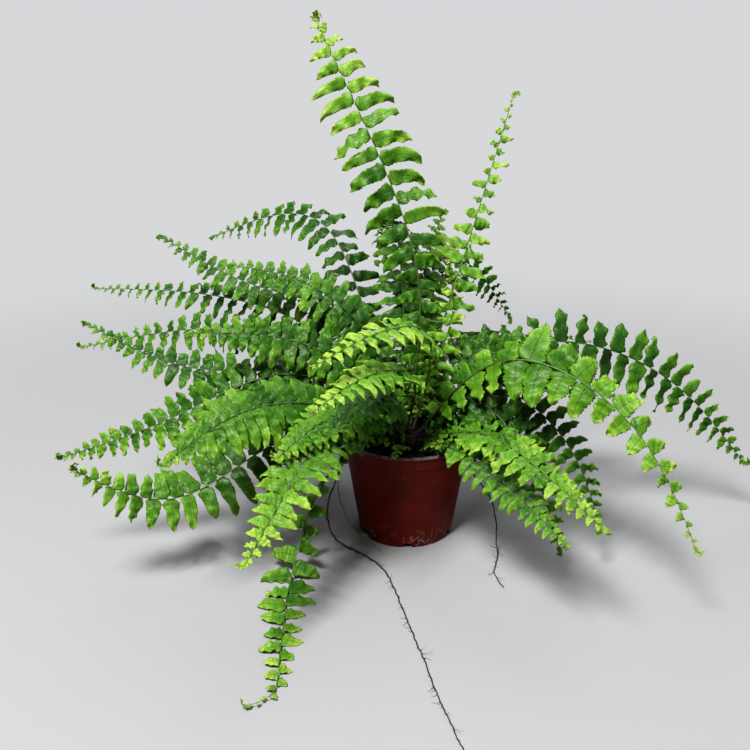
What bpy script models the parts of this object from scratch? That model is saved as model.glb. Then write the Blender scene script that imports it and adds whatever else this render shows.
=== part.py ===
"""A young sword fern in a small nursery pot, standing on a surface.

Every piece is its own object: the pot, its potting mix, the crown that the fronds grow from, each frond,
the young coiled croziers, and the runners and roots that hang over the rim. Lengths are in metres, +Z is
up, and the origin is the centre of the pot's underside.
"""

import math
from collections import namedtuple

import bmesh
import bpy
import numpy as np
from mathutils import Matrix, Vector
from mathutils.bvhtree import BVHTree

MM = 0.001

# The pot
POT_HEIGHT = 60 * MM
RIM_RADIUS = 37.5 * MM
BASE_RADIUS = 27.5 * MM
WALL = 1.0 * MM
FLOOR_THICKNESS = 1.2 * MM
LIP_WIDTH = 3.0 * MM
LIP_THICKNESS = 1.2 * MM
BAND_HEIGHT = 7.5 * MM
BAND_STEP = 0.5 * MM
HEEL_BEVEL = 0.5 * MM
POT_SEGMENTS = 48
DRAIN_COUNT = 6
DRAIN_RADIUS = 3.2 * MM
DRAIN_DEPTH = 4.0 * MM
DRAIN_SIDES = 12

# The potting mix and the crown
FIT_GAP = 0.3 * MM
MIX_BELOW_RIM = 4.0 * MM
MIX_LUMP = 0.9 * MM
MIX_SEGMENTS = 32
CROWN_RADIUS = 17 * MM
CROWN_HEIGHT = 10 * MM
CROWN_SEGMENTS = 20
CROWN_RINGS = (0.97, 0.9, 0.75, 0.5, 0.25)
CROWN_EDGE = CROWN_RADIUS / MM

# The fronds
STALK_WIDTH = 1.5 * MM
STALK_HEIGHT = 1.1 * MM
STALK_TIP = 0.3 * MM
STALK_FLATTENING = 0.5
STALK_THINNING = 0.6
BARE_STEPS = 4
ROUTE_STEPS = 400
LEAFLET_END_SHARE = 0.55
LEAFLET_LEAN = 0.20
LEAFLET_DROOP = 0.40
LEAFLET_CLEARANCE = 0.25 * MM
LOWEST_LEAFLET = 0.62
LEAFLET_GROWTH = 1.9
TAPER_FROM = 0.35
TAPER_LOSS = 0.93
TAPER_CURVE = 1.7
STUB_SHARE = 0.02
SHORTENING = 0.72
SHORTENING_ROUNDS = 14
SURFACE_CLEARANCE = 0.3 * MM
INWARD_LEAN = 0.35

# Roots, runners and croziers
RUNNER_RADIUS = 0.6 * MM
ROOTLET_RADIUS = 0.4 * MM
CROZIER_RADIUS = 0.8 * MM
CROZIER_COIL = 3.2 * MM
CROZIER_TURNS = 1.15
CROZIER_STEPS = 14
COIL_TIGHTENING = 0.52
CROZIER_THINNING = 0.45
TUBE_SIDES = 6
TUBE_STEPS = 6
RIM_CLEARANCE = 2.0 * MM
RIM_CORNER = 0.7

# A frond grows from a seat on the crown, given by its bearing in degrees and its ring in mm. Bearings run
# from +X towards +Y. The route's next points, in mm, are measured from the pot's axis and up from its rim.
# leaflet is the longest leaflet in mm, bare the share of the stalk without leaflets, and turn how far the
# blade's upper face turns from looking up, at 0, towards looking at -Y. A seat beyond the crown's edge is on
# the potting mix.
Frond = namedtuple("Frond", "name seat route leaflet pairs bare turn")

FROND_ROWS = (
    ("tall_frond", (100, 1.5), ((6, 8, 88), (-18, 20, 160), (-50, 30, 226)), 24, 17, 0.36, 4.0),
    ("slender_upright_frond", (20, 2), ((22, 15, 68), (42, 35, 128), (60, 50, 186)), 9, 17, 0.34, 3.0),
    ("far_right_frond", (2, 9.5), ((64, 5, 51), (143, 10, 36), (204, 14, -24)), 20, 19, 0.24, 1.6),
    ("front_right_frond", (330, 9.5), ((56, -35, 57), (110, -70, 34), (138, -100, -18)), 25, 17, 0.25, 1.0),
    ("left_low_frond", (200, 14.5), ((-68, -27, 8), (-124, -55, -14), (-168, -80, 14)), 22, 16, 0.25, 1.2),
    ("left_wide_frond", (196, 9.5), ((-66, -13, 41), (-127, -27, 22), (-188, -40, 3)), 19, 18, 0.25, 0.9),
    ("front_left_frond", (240, 14.5), ((-42, -50, 20), (-62, -98, 10), (-76, -138, -4)), 20, 14, 0.2, 0.5),
    ("front_right_low_frond", (314, 14.5), ((38, -45, 19), (66, -90, 15), (88, -120, 2)), 17, 14, 0.2, 0.6),
    ("lime_upper_frond", (310, 6), ((10, -20, 66), (-18, -60, 79), (-46, -98, 75)), 15, 14, 0.3, 0.7),
    ("lime_lower_frond", (268, 6), ((2, -32, 46), (-26, -80, 62), (-46, -118, 60)), 16, 15, 0.26, 0.7),
    ("left_shoulder_frond", (212, 14.5), ((-48, -30, 29), (-90, -65, 37), (-118, -98, 26)), 24, 15, 0.22, 1.0),
    ("left_mid_frond", (180, 9.5), ((-61, 0, 36), (-121, 0, 40), (-179, 0, 66)), 17, 17, 0.25, 0.9),
    ("left_inner_frond", (190, 6), ((-38, -8, 47), (-78, -14, 64), (-117, -20, 67)), 20, 14, 0.2, 1.2),
    ("left_high_frond", (150, 6), ((-28, 20, 60), (-88, 36, 79), (-144, 50, 105)), 18, 16, 0.28, 1.2),
    ("left_far_frond", (166, 10.5), ((-56, 11, 50), (-121, 22, 57), (-193, 31, 43)), 15, 17, 0.25, 1.0),
    ("back_left_long_frond", (150, 11), ((-48, 30, 48), (-118, 60, 67), (-200, 90, 64)), 15, 17, 0.25, 0.8),
    ("back_left_arching_frond", (115, 6), ((-24, 40, 60), (-54, 80, 110), (-126, 118, 93)), 19, 18, 0.28, 0.8),
    ("back_right_drooping_frond", (60, 6), ((10, 30, 54), (30, 62, 88), (70, 90, 45)), 17, 14, 0.28, 1.2),
    ("back_upright_frond", (82, 6), ((4, 30, 58), (11, 48, 86), (22, 60, 118)), 17, 11, 0.34, 2.5),
    ("back_right_thin_frond", (35, 7), ((30, 20, 45), (72, 36, 49), (118, 52, 39)), 14, 13, 0.25, 0.9),
    ("right_hanging_frond", (342, 14.5), ((46, -19, 35), (80, -35, 17), (104, -50, -34)), 17, 13, 0.2, 1.2),
    ("right_dark_frond", (328, 14.5), ((38, -22, 27), (60, -46, 10), (80, -62, -40)), 19, 12, 0.15, 1.2),
    ("front_right_under_frond", (300, 14.5), ((27, -38, 8), (54, -78, -1), (72, -112, -10)), 15, 13, 0.2, 0.5),
    ("front_shaded_frond", (252, 10.5), ((-10, -30, 33), (-27, -58, 42), (-42, -86, 36)), 17, 12, 0.2, 0.8),
    ("back_right_frond", (18, 14.5), ((50, 19, 31), (95, 40, 34), (132, 60, 2)), 18, 13, 0.22, 0.3),
    ("back_right_inner_frond", (40, 12.5), ((40, 34, 36), (74, 68, 38), (98, 98, 2)), 18, 13, 0.22, 0.2),
    ("back_frond", (62, 12.5), ((23, 42, 33), (42, 84, 36), (56, 124, 4)), 18, 14, 0.22, 0.0),
    ("back_high_frond", (86, 11), ((5, 42, 46), (8, 88, 52), (8, 134, 16)), 19, 14, 0.24, 0.0),
    ("back_left_frond", (108, 12.5), ((-13, 45, 30), (-26, 88, 30), (-36, 126, -8)), 18, 14, 0.22, 0.0),
    ("back_left_inner_frond", (130, 11), ((-32, 38, 33), (-62, 74, 36), (-88, 106, 4)), 18, 13, 0.22, 0.2),
    ("left_lower_back_frond", (148, 14.5), ((-42, 25, 22), (-82, 50, 16), (-112, 70, -22)), 17, 12, 0.22, 0.4),
    ("back_low_frond", (76, 15), ((14, 46, 10), (24, 80, -8), (30, 104, -42)), 15, 10, 0.22, 0.0),
    ("back_left_low_frond", (118, 15.5), ((-22, 44, 10), (-40, 74, -8), (-52, 96, -42)), 15, 10, 0.22, 0.0),
    ("front_left_inner_frond", (226, 10), ((-24, -28, 24), (-46, -56, 30), (-66, -82, 22)), 18, 12, 0.2, 0.8),
    ("right_inner_frond", (350, 6), ((34, -8, 50), (66, -18, 50), (92, -26, 30)), 17, 12, 0.22, 1.2),
    ("right_low_frond", (356, 14.5), ((44, -4, 18), (70, -8, 4), (84, -12, -30)), 16, 10, 0.2, 0.8),
    ("left_upper_inner_frond", (170, 3.2), ((-24, 6, 60), (-60, 12, 88), (-98, 16, 96)), 18, 13, 0.25, 1.2),
    ("left_low_inner_frond", (184, 14.5), ((-50, -8, 22), (-88, -18, 14), (-112, -26, -8)), 18, 12, 0.22, 0.8),
    ("slender_centre_frond", (320, 2.5), ((16, -4, 45), (24, -10, 78), (20, -18, 105)), 9, 9, 0.3, 2.0),
    ("back_tall_frond", (100, 3.8), ((-2, 24, 70), (-6, 56, 108), (-10, 92, 108)), 18, 13, 0.28, 0.0),
    ("back_right_low_frond", (44, 15), ((32, 30, 12), (56, 56, -2), (74, 76, -34)), 15, 10, 0.22, 0.0),
    ("rim_sprout_front", (270, CROWN_EDGE + 1), ((-2, -26, 3), (-5, -34, 6), (-8, -42, 4)), 5, 5, 0.3, 0.5),
    ("rim_sprout_centre", (290, CROWN_EDGE + 3), ((9, -25, 2), (12, -30, 6), (15, -36, 7)), 5, 4, 0.3, 0.5),
    ("rim_sprout_right", (310, CROWN_EDGE + 3), ((19, -24, 2), (25, -30, 6), (31, -36, 3)), 6, 5, 0.3, 0.5),
)
FRONDS = tuple(Frond(*row) for row in FROND_ROWS)

# The trailing frond falls over the rim and then lies along the surface. Each point of its fall is a bearing,
# the mm beyond the rim's edge, and a share of the pot's height. The points on the surface are in mm from the
# pot's axis.
TRAILING_SEAT = (226, 15)
TRAILING_FALL = ((226, -3, 1.14), (228, 20, 1.02), (222, 32, 0.66), (219, 40, 0.24))
TRAILING_ON_SURFACE = ((-64, -68), (-64, -106), (-63, -142), (-66, -161), (-73, -166))
TRAILING_HEIGHT = 2.0 * MM
TRAILING_FROND = Frond("trailing_frond", TRAILING_SEAT, None, 19, 17, 0.36, 0.0)

# Each hanging line goes over the rim at a bearing, then through points in mm: from the pot's axis, and up
# from the surface.
HangingLine = namedtuple("HangingLine", "name start bearing radius route")

HANGING_LINES = (
    HangingLine(
        "long_runner", (208, CROWN_EDGE + 5), 207, RUNNER_RADIUS,
        ((-45, -22, 28), (-41, -26, 5), (-30, -32, 0.6), (-15, -50, 0.6), (-6, -82, 0.6), (4, -130, 0.6),
         (10, -160, 0.6), (18, -192, 0.6)),
    ),
    HangingLine(
        "short_runner", (330, CROWN_EDGE + 7), 328, RUNNER_RADIUS,
        ((49, -26, 26), (51, -30, 6), (51, -38, 0.6), (47, -54, 0.6), (50, -70, 0.6)),
    ),
    HangingLine(
        "grey_root", (196, CROWN_EDGE + 6), 196, ROOTLET_RADIUS,
        ((-40, -15, 34), (-31, -24, 12), (-15, -31, 0.5)),
    ),
)

# A crozier stands at a bearing and a radius in mm, with its coil's centre this many mm over the rim.
CROZIERS = (
    ("crozier_left", 243, CROWN_EDGE + 3, 9),
    ("crozier_front", 262, CROWN_EDGE + 3, 5),
    ("crozier_back", 96, CROWN_EDGE + 3, 12),
)

COLOURS = {
    "pot": ((0.075, 0.012, 0.007), 0.38),
    "mix": ((0.025, 0.016, 0.010), 0.95),
    "crown": ((0.060, 0.032, 0.012), 0.85),
    "frond": ((0.060, 0.220, 0.020), 0.45),
    "lime": ((0.330, 0.560, 0.050), 0.45),
    "runner": ((0.090, 0.045, 0.020), 0.70),
}


def clear_scene():
    for old in list(bpy.data.objects):
        bpy.data.objects.remove(old, do_unlink=True)


def make_material(name):
    colour, roughness = COLOURS[name]
    material = bpy.data.materials.new(name)
    material.use_nodes = True
    shader = material.node_tree.nodes["Principled BSDF"]
    shader.inputs["Base Color"].default_value = (*colour, 1.0)
    shader.inputs["Roughness"].default_value = roughness
    return material


def make_object(name, points, faces, material, smooth=False):
    """One object whose mesh has outward faces."""
    mesh = bpy.data.meshes.new(name)
    mesh.from_pydata([tuple(point) for point in points], [], faces)
    shape = bmesh.new()
    shape.from_mesh(mesh)
    bmesh.ops.recalc_face_normals(shape, faces=shape.faces)
    shape.to_mesh(mesh)
    shape.free()
    mesh.materials.append(material)
    if smooth:
        mesh.shade_smooth()
        mesh.set_sharp_from_angle(angle=math.radians(40))
    piece = bpy.data.objects.new(name, mesh)
    bpy.context.scene.collection.objects.link(piece)
    return piece


def at_bearing(degrees, radius, height):
    angle = math.radians(degrees)
    return Vector((radius * math.cos(angle), radius * math.sin(angle), height))


def turned(profile, segments):
    """Points and faces of a profile of (radius, height) turned about Z, with both its ends on the axis."""
    points = [Vector((0, 0, profile[0][1]))]
    for radius, height in profile[1:-1]:
        points += [at_bearing(360 * k / segments, radius, height) for k in range(segments)]
    points.append(Vector((0, 0, profile[-1][1])))
    faces = []
    rings = len(profile) - 2
    for k in range(segments):
        after = (k + 1) % segments
        faces.append((0, 1 + after, 1 + k))
        for ring in range(rings - 1):
            low = 1 + ring * segments
            high = low + segments
            faces.append((low + k, low + after, high + after, high + k))
        last = 1 + (rings - 1) * segments
        faces.append((last + k, last + after, len(points) - 1))
    return points, faces


def wall_radius(height):
    """The pot's outer radius under its band, which tapers from the base."""
    return BASE_RADIUS + (RIM_RADIUS - BAND_STEP - BASE_RADIUS) * height / POT_HEIGHT


def pot_shape():
    band_foot = POT_HEIGHT - BAND_HEIGHT
    lip_foot = POT_HEIGHT - LIP_THICKNESS
    profile = (
        (0, 0),
        (BASE_RADIUS - HEEL_BEVEL, 0),
        (wall_radius(HEEL_BEVEL), HEEL_BEVEL),
        (wall_radius(band_foot - BAND_STEP), band_foot - BAND_STEP),
        (wall_radius(band_foot) + BAND_STEP, band_foot),
        (RIM_RADIUS - BAND_STEP, lip_foot - BAND_STEP),
        (RIM_RADIUS, lip_foot),
        (RIM_RADIUS, POT_HEIGHT),
        (RIM_RADIUS - LIP_WIDTH, POT_HEIGHT),
        (RIM_RADIUS - LIP_WIDTH, lip_foot),
        (wall_radius(lip_foot - LIP_THICKNESS) - WALL, lip_foot - LIP_THICKNESS),
        (wall_radius(FLOOR_THICKNESS) - WALL, FLOOR_THICKNESS),
        (0, FLOOR_THICKNESS),
    )
    return turned(profile, POT_SEGMENTS)


def drain_cutter():
    """Short rods that point outwards through the heel of the pot, one for each drainage arch."""
    shape = bmesh.new()
    for k in range(DRAIN_COUNT):
        outwards = Matrix.Rotation(2 * math.pi * (k + 0.5) / DRAIN_COUNT, 4, "Z")
        place = Matrix.Translation((BASE_RADIUS, 0, 0)) @ Matrix.Rotation(math.pi / 2, 4, "Y")
        bmesh.ops.create_cone(
            shape, cap_ends=True, segments=DRAIN_SIDES, radius1=DRAIN_RADIUS, radius2=DRAIN_RADIUS,
            depth=2 * DRAIN_DEPTH, matrix=outwards @ place,
        )
    bmesh.ops.recalc_face_normals(shape, faces=shape.faces)
    mesh = bpy.data.meshes.new("drain_cutter")
    shape.to_mesh(mesh)
    shape.free()
    cutter = bpy.data.objects.new("drain_cutter", mesh)
    bpy.context.scene.collection.objects.link(cutter)
    cutter.hide_render = True
    cutter.display_type = "WIRE"
    return cutter


def mix_shape():
    """The potting mix fills the pot up to its lumpy top, with the fit gap all round."""
    foot = FLOOR_THICKNESS + FIT_GAP
    level = POT_HEIGHT - MIX_BELOW_RIM - MIX_LUMP
    foot_edge = wall_radius(foot) - WALL - FIT_GAP
    edge = wall_radius(level) - WALL - FIT_GAP
    rings = [edge + (CROWN_RADIUS - edge) * k / 3 for k in range(4)]
    profile = [(0, foot), (foot_edge, foot)] + [(radius, level) for radius in rings] + [(0, level)]
    points, faces = turned(profile, MIX_SEGMENTS)
    first = 1 + 2 * MIX_SEGMENTS
    for point in points[first : first + 2 * MIX_SEGMENTS]:
        radius = math.hypot(point.x, point.y)
        angle = math.atan2(point.y, point.x)
        wave = math.sin(5 * angle + 10 * radius / CROWN_RADIUS) * math.cos(3 * angle)
        point.z += MIX_LUMP * (1 + wave) / 2
    return points, faces


def crown_floor():
    return POT_HEIGHT - MIX_BELOW_RIM - MIX_LUMP + FIT_GAP


def crown_height(radius):
    """Height of the crown's surface at a distance from its axis."""
    return crown_floor() + CROWN_HEIGHT * math.sqrt(max(0.0, 1 - (radius / CROWN_RADIUS) ** 2))


def crown_shape():
    radii = [CROWN_RADIUS * share for share in CROWN_RINGS]
    dome = [(radius, crown_height(radius)) for radius in radii]
    profile = [(0, crown_floor()), (radii[0], crown_floor())] + dome + [(0, crown_height(0))]
    return turned(profile, CROWN_SEGMENTS)


def seat_point(seat):
    """A point just off the crown, or just over the potting mix where the ring is wider than the crown."""
    bearing, ring = seat[0], seat[1] * MM
    stand_off = math.hypot(STALK_WIDTH, STALK_HEIGHT) / 2 + FIT_GAP
    if ring > CROWN_RADIUS * CROWN_RINGS[0]:
        return at_bearing(bearing, ring, POT_HEIGHT - MIX_BELOW_RIM + stand_off)
    slope = Vector((ring / CROWN_RADIUS**2, 0, (crown_height(ring) - crown_floor()) / CROWN_HEIGHT**2))
    slope.normalize()
    return at_bearing(bearing, ring + slope.x * stand_off, crown_height(ring) + slope.z * stand_off)


def smooth_curve(points, count):
    """Evenly spaced points on the natural cubic spline through the given points."""
    knots = np.array([tuple(point) for point in points], float)
    chord = np.linalg.norm(np.diff(knots, axis=0), axis=1)
    t = np.concatenate(([0.0], np.cumsum(chord)))
    size = len(knots)
    system = np.eye(size)
    right = np.zeros((size, 3))
    for k in range(1, size - 1):
        system[k, k - 1 : k + 2] = chord[k - 1], 2 * (chord[k - 1] + chord[k]), chord[k]
        slopes = (knots[k + 1] - knots[k]) / chord[k] - (knots[k] - knots[k - 1]) / chord[k - 1]
        right[k] = 6 * slopes
    bend = np.linalg.solve(system, right)
    fine = np.linspace(0, t[-1], ROUTE_STEPS)
    span = np.clip(np.searchsorted(t, fine, side="right") - 1, 0, size - 2)
    width = chord[span][:, None]
    after = (fine - t[span])[:, None]
    before = width - after
    curve = (bend[span] * before**3 + bend[span + 1] * after**3) / (6 * width)
    curve += (knots[span] / width - bend[span] * width / 6) * before
    curve += (knots[span + 1] / width - bend[span + 1] * width / 6) * after
    run = np.concatenate(([0.0], np.cumsum(np.linalg.norm(np.diff(curve, axis=0), axis=1))))
    wanted = np.linspace(0, run[-1], count)
    return [Vector([np.interp(s, run, curve[:, axis]) for axis in range(3)]) for s in wanted]


def over_rim(bearing, beyond, rise):
    """A point this far beyond the rim's outer edge and this far over its top."""
    return at_bearing(bearing, RIM_RADIUS + beyond, POT_HEIGHT + rise)


def frond_route(frond):
    start = seat_point(frond.seat)
    if frond.route is None:
        falling = [
            at_bearing(bearing, RIM_RADIUS + beyond * MM, share * POT_HEIGHT)
            for bearing, beyond, share in TRAILING_FALL
        ]
        lying = [Vector((x * MM, y * MM, TRAILING_HEIGHT)) for x, y in TRAILING_ON_SURFACE]
        return [start] + falling + lying
    return [start] + [Vector((x * MM, y * MM, POT_HEIGHT + z * MM)) for x, y, z in frond.route]


def frond_frames(frond, count):
    """(point, along, side, up) at evenly spaced stations of a frond."""
    line = smooth_curve(frond_route(frond), count)
    outward = Vector((line[-1].x - line[0].x, line[-1].y - line[0].y, 0)).normalized()
    facing = (Vector((0, -frond.turn, 1)) - INWARD_LEAN * outward).normalized()
    frames = []
    for point in line:
        point.z = max(point.z, TRAILING_HEIGHT)
    for k, point in enumerate(line):
        along = (line[min(k + 1, count - 1)] - line[max(k - 1, 0)]).normalized()
        side = along.cross(facing).normalized()
        frames.append((point, along, side, side.cross(along)))
    return frames


def leaflet_share(place):
    """How long a leaflet is at a place from 0, the lowest pair, to 1, the tip of the frond."""
    taper = max(0.0, (place - TAPER_FROM) / (1 - TAPER_FROM)) ** TAPER_CURVE
    return min(1.0, LOWEST_LEAFLET + LEAFLET_GROWTH * place) * (1 - TAPER_LOSS * taper)


def frond_shape(frond, reach, swell=0.0):
    """Points and faces of a frond, with the number of the leaflet that each face belongs to, or None.

    The stalk has a four-sided section, and a leaflet is a wedge that grows out of its side and ends in an
    edge. reach holds a share of the full length for each leaflet, and swell thickens the whole shape.
    """
    frames = frond_frames(frond, ROUTE_STEPS + 1)
    stations = [frond.bare * k / BARE_STEPS for k in range(BARE_STEPS)]
    stations += [frond.bare + (1 - frond.bare) * k / frond.pairs for k in range(frond.pairs + 1)]
    points = []
    faces = []
    owners = []
    rings = [frames[round(ROUTE_STEPS * s)] for s in stations]
    for s, (point, _, side, up) in zip(stations, rings):
        flat = 1 - STALK_FLATTENING * min(1, s / frond.bare)
        wide = max(STALK_TIP, STALK_WIDTH * (1 - s)) / 2 + swell
        high = max(STALK_TIP, STALK_HEIGHT * flat * (1 - STALK_THINNING * s)) / 2 + swell
        for across, rise in ((1, 1), (1, -1), (-1, -1), (-1, 1)):
            points.append(point + side * (across * wide) + up * (rise * high))

    def add(owner, *corners):
        faces.append(corners)
        owners.append(owner)

    add(None, 0, 1, 2, 3)
    for k in range(len(rings) - 1):
        here = 4 * k
        there = here + 4
        add(None, here, there, there + 3, here + 3)
        add(None, here + 1, here + 2, there + 2, there + 1)
        pair = k - BARE_STEPS
        for sign, top, low in ((1, 0, 1), (-1, 3, 2)):
            if pair < 0:
                add(None, here + top, here + low, there + low, there + top)
                continue
            number = 2 * pair + (0 if sign > 0 else 1)
            place = (pair + 0.5) / frond.pairs
            root = (rings[k][0] + rings[k + 1][0]) / 2
            _, along, side, _ = rings[k]
            heading = side * sign + along * LEAFLET_LEAN - Vector((0, 0, LEAFLET_DROOP))
            heading.normalize()
            length = frond.leaflet * MM * leaflet_share(place) * reach[number] + swell
            edge = (rings[k + 1][0] - rings[k][0]) * (LEAFLET_END_SHARE / 2)
            edge += along * swell
            first = len(points)
            for end in (root + heading * length - edge, root + heading * length + edge):
                end.z = max(end.z, SURFACE_CLEARANCE - swell)
                points.append(end)
            add(number, here + top, there + top, first + 1, first)
            add(number, here + low, first, first + 1, there + low)
            add(number, here + top, first, here + low)
            add(number, there + top, there + low, first + 1)
    last = 4 * (len(rings) - 1)
    add(None, last, last + 3, last + 2, last + 1)
    return points, faces, owners


def stalk_only(frond):
    """A frond's stalk with stubs for leaflets, thick enough to keep others clear of it."""
    points, faces, _ = frond_shape(frond, [STUB_SHARE] * (2 * frond.pairs), LEAFLET_CLEARANCE)
    return points, faces


def tube(line, radii, across=None):
    """Points and faces of a closed tube with flat ends, with a radius at each point of its line."""
    points = []
    faces = []
    for k, point in enumerate(line):
        along = (line[min(k + 1, len(line) - 1)] - line[max(k - 1, 0)]).normalized()
        if across is None:
            across = along.orthogonal()
        across = (across - along * across.dot(along)).normalized()
        other = along.cross(across)
        for side in range(TUBE_SIDES):
            angle = 2 * math.pi * side / TUBE_SIDES
            points.append(point + (across * math.cos(angle) + other * math.sin(angle)) * radii[k])
    for k in range(len(line) - 1):
        for side in range(TUBE_SIDES):
            after = (side + 1) % TUBE_SIDES
            here = k * TUBE_SIDES
            there = here + TUBE_SIDES
            faces.append((here + side, here + after, there + after, there + side))
    faces.append(tuple(range(TUBE_SIDES)))
    faces.append(tuple(range(len(points) - TUBE_SIDES, len(points))))
    return points, faces


def hanging_shape(line):
    start = at_bearing(line.start[0], line.start[1] * MM, POT_HEIGHT - MIX_BELOW_RIM + FIT_GAP + line.radius)
    inside = over_rim(line.bearing, -LIP_WIDTH / 2, RIM_CLEARANCE)
    corner = over_rim(line.bearing, RIM_CORNER * RIM_CLEARANCE, RIM_CORNER * RIM_CLEARANCE)
    outside = over_rim(line.bearing, RIM_CLEARANCE, -RIM_CLEARANCE)
    rest = [Vector((x * MM, y * MM, z * MM)) for x, y, z in line.route]
    curve = smooth_curve([start, inside, corner, outside] + rest, TUBE_STEPS * (len(rest) + 3))
    for point in curve:
        point.z = max(point.z, line.radius)
    return tube(curve, [line.radius] * len(curve))


def crozier_shape(bearing, radius, height):
    """A young frond: a stalk that rises from the potting mix and ends in a flat coil."""
    foot = at_bearing(bearing, radius * MM, POT_HEIGHT - MIX_BELOW_RIM + FIT_GAP)
    centre = Vector((foot.x, foot.y, POT_HEIGHT + height * MM))
    outward = at_bearing(bearing, 1, 0)
    line = [foot.lerp(centre - outward * CROZIER_COIL, share) for share in (0, 0.35, 0.7)]
    for k in range(CROZIER_STEPS + 1):
        turn = 2 * math.pi * CROZIER_TURNS * k / CROZIER_STEPS
        size = CROZIER_COIL * (1 - COIL_TIGHTENING * k / CROZIER_STEPS)
        line.append(centre - outward * (math.cos(turn) * size) + Vector((0, 0, math.sin(turn) * size)))
    radii = [CROZIER_RADIUS * (1 - CROZIER_THINNING * k / len(line)) for k in range(len(line))]
    return tube(line, radii, at_bearing(bearing + 90, 1, 0))


def shorten_leaflets(frond, standing):
    """Each leaflet's share of its full length, shortened until it stands clear of what is there already."""
    reach = [1.0] * (2 * frond.pairs)
    for _ in range(SHORTENING_ROUNDS):
        points, faces, owners = frond_shape(frond, reach, LEAFLET_CLEARANCE)
        touching = BVHTree.FromPolygons(points, faces).overlap(standing)
        crowded = {owners[mine] for mine, _ in touching} - {None}
        if not crowded:
            break
        for number in crowded:
            reach[number] *= SHORTENING
    return reach


def gather(shapes):
    """One tree over many (points, faces) shapes."""
    points = []
    faces = []
    for some_points, some_faces in shapes:
        offset = len(points)
        points += some_points
        faces += [tuple(offset + corner for corner in face) for face in some_faces]
    return BVHTree.FromPolygons(points, faces)


def grow_fronds(fronds, solids, materials):
    """Makes the fronds in order, each with its leaflets clear of the solids and of the fronds before it."""
    stalks = {frond.name: stalk_only(frond) for frond in fronds}
    grown = []
    for frond in fronds:
        others = [stalk for name, stalk in stalks.items() if name != frond.name]
        reach = shorten_leaflets(frond, gather(solids + others + grown))
        points, faces, _ = frond_shape(frond, reach)
        colour = "lime" if frond.name.startswith("lime") else "frond"
        make_object(frond.name, points, faces, materials[colour])
        grown.append((points, faces))


def main():
    clear_scene()
    materials = {name: make_material(name) for name in COLOURS}
    pot = pot_shape()
    mix = mix_shape()
    crown = crown_shape()
    pot_object = make_object("nursery_pot", *pot, materials["pot"], smooth=True)
    drains = pot_object.modifiers.new("drainage arches", "BOOLEAN")
    drains.object = drain_cutter()
    drains.operation = "DIFFERENCE"
    make_object("potting_mix", *mix, materials["mix"], smooth=True)
    make_object("crown", *crown, materials["crown"], smooth=True)
    solids = [pot, mix, crown]
    for line in HANGING_LINES:
        shape = hanging_shape(line)
        make_object(line.name, *shape, materials["runner"], smooth=True)
        solids.append(shape)
    for name, bearing, radius, height in CROZIERS:
        shape = crozier_shape(bearing, radius, height)
        make_object(name, *shape, materials["lime"], smooth=True)
        solids.append(shape)
    grow_fronds(FRONDS + (TRAILING_FROND,), solids, materials)


main()
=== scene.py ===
"""A young sword fern in a small nursery pot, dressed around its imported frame.

Each operator makes one piece or one group of like pieces. Lengths are in metres, +Z is up, and the origin is
the centre of the pot's underside.
"""

import math
from collections import namedtuple

import bmesh
import bpy
import numpy as np
from bpy.props import FloatProperty, FloatVectorProperty, IntProperty, PointerProperty
from mathutils import Matrix, Vector, noise


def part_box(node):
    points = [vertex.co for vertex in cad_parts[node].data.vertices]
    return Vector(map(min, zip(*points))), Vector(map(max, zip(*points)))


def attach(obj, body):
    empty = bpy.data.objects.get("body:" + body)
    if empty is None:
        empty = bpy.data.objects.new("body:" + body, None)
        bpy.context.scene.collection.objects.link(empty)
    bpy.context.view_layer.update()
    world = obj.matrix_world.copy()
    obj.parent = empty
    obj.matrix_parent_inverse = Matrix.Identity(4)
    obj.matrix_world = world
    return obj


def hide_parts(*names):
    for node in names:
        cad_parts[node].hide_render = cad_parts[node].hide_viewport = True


bl_info = {
    "name": "Potted sword fern",
    "version": (1, 0, 0),
    "blender": (4, 5, 0),
    "location": "View3D > Sidebar > Fern",
    "description": "Grows a detailed sword fern in its nursery pot around a packed frame",
    "category": "Add Mesh",
}

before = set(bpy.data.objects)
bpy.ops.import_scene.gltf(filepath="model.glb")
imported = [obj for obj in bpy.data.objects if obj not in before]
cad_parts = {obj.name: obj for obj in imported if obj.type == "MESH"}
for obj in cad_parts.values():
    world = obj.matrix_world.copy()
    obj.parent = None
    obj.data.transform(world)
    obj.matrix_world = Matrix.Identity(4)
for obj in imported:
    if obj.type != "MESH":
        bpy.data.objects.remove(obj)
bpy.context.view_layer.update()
POT_LOW, POT_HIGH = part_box("nursery_pot")

MM = 0.001
DOWN = np.array((0.0, 0.0, -1.0))

# The pot, as the frame has it
POT_HEIGHT = POT_HIGH.z
RIM_RADIUS = POT_HIGH.x
BASE_RADIUS = 27.5 * MM
WALL = 1.0 * MM
FLOOR_THICKNESS = 1.2 * MM
LIP_WIDTH = 3.0 * MM
LIP_THICKNESS = 1.2 * MM
BAND_HEIGHT = 7.5 * MM
BAND_STEP = 0.5 * MM
HEEL_HOLLOW = 0.8 * MM
HEEL_WIDTH = 3.4 * MM
HEEL_SLOPE = 0.8 * MM
INSIDE_FLOOR = FLOOR_THICKNESS + 1.0 * MM
DRAIN_COUNT = 6
DRAIN_RADIUS = 3.2 * MM
DRAIN_DEPTH = 8 * MM
DRAIN_SIDES = 40
CORNER_STEPS = 4
SHARP_ANGLE = 35

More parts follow.
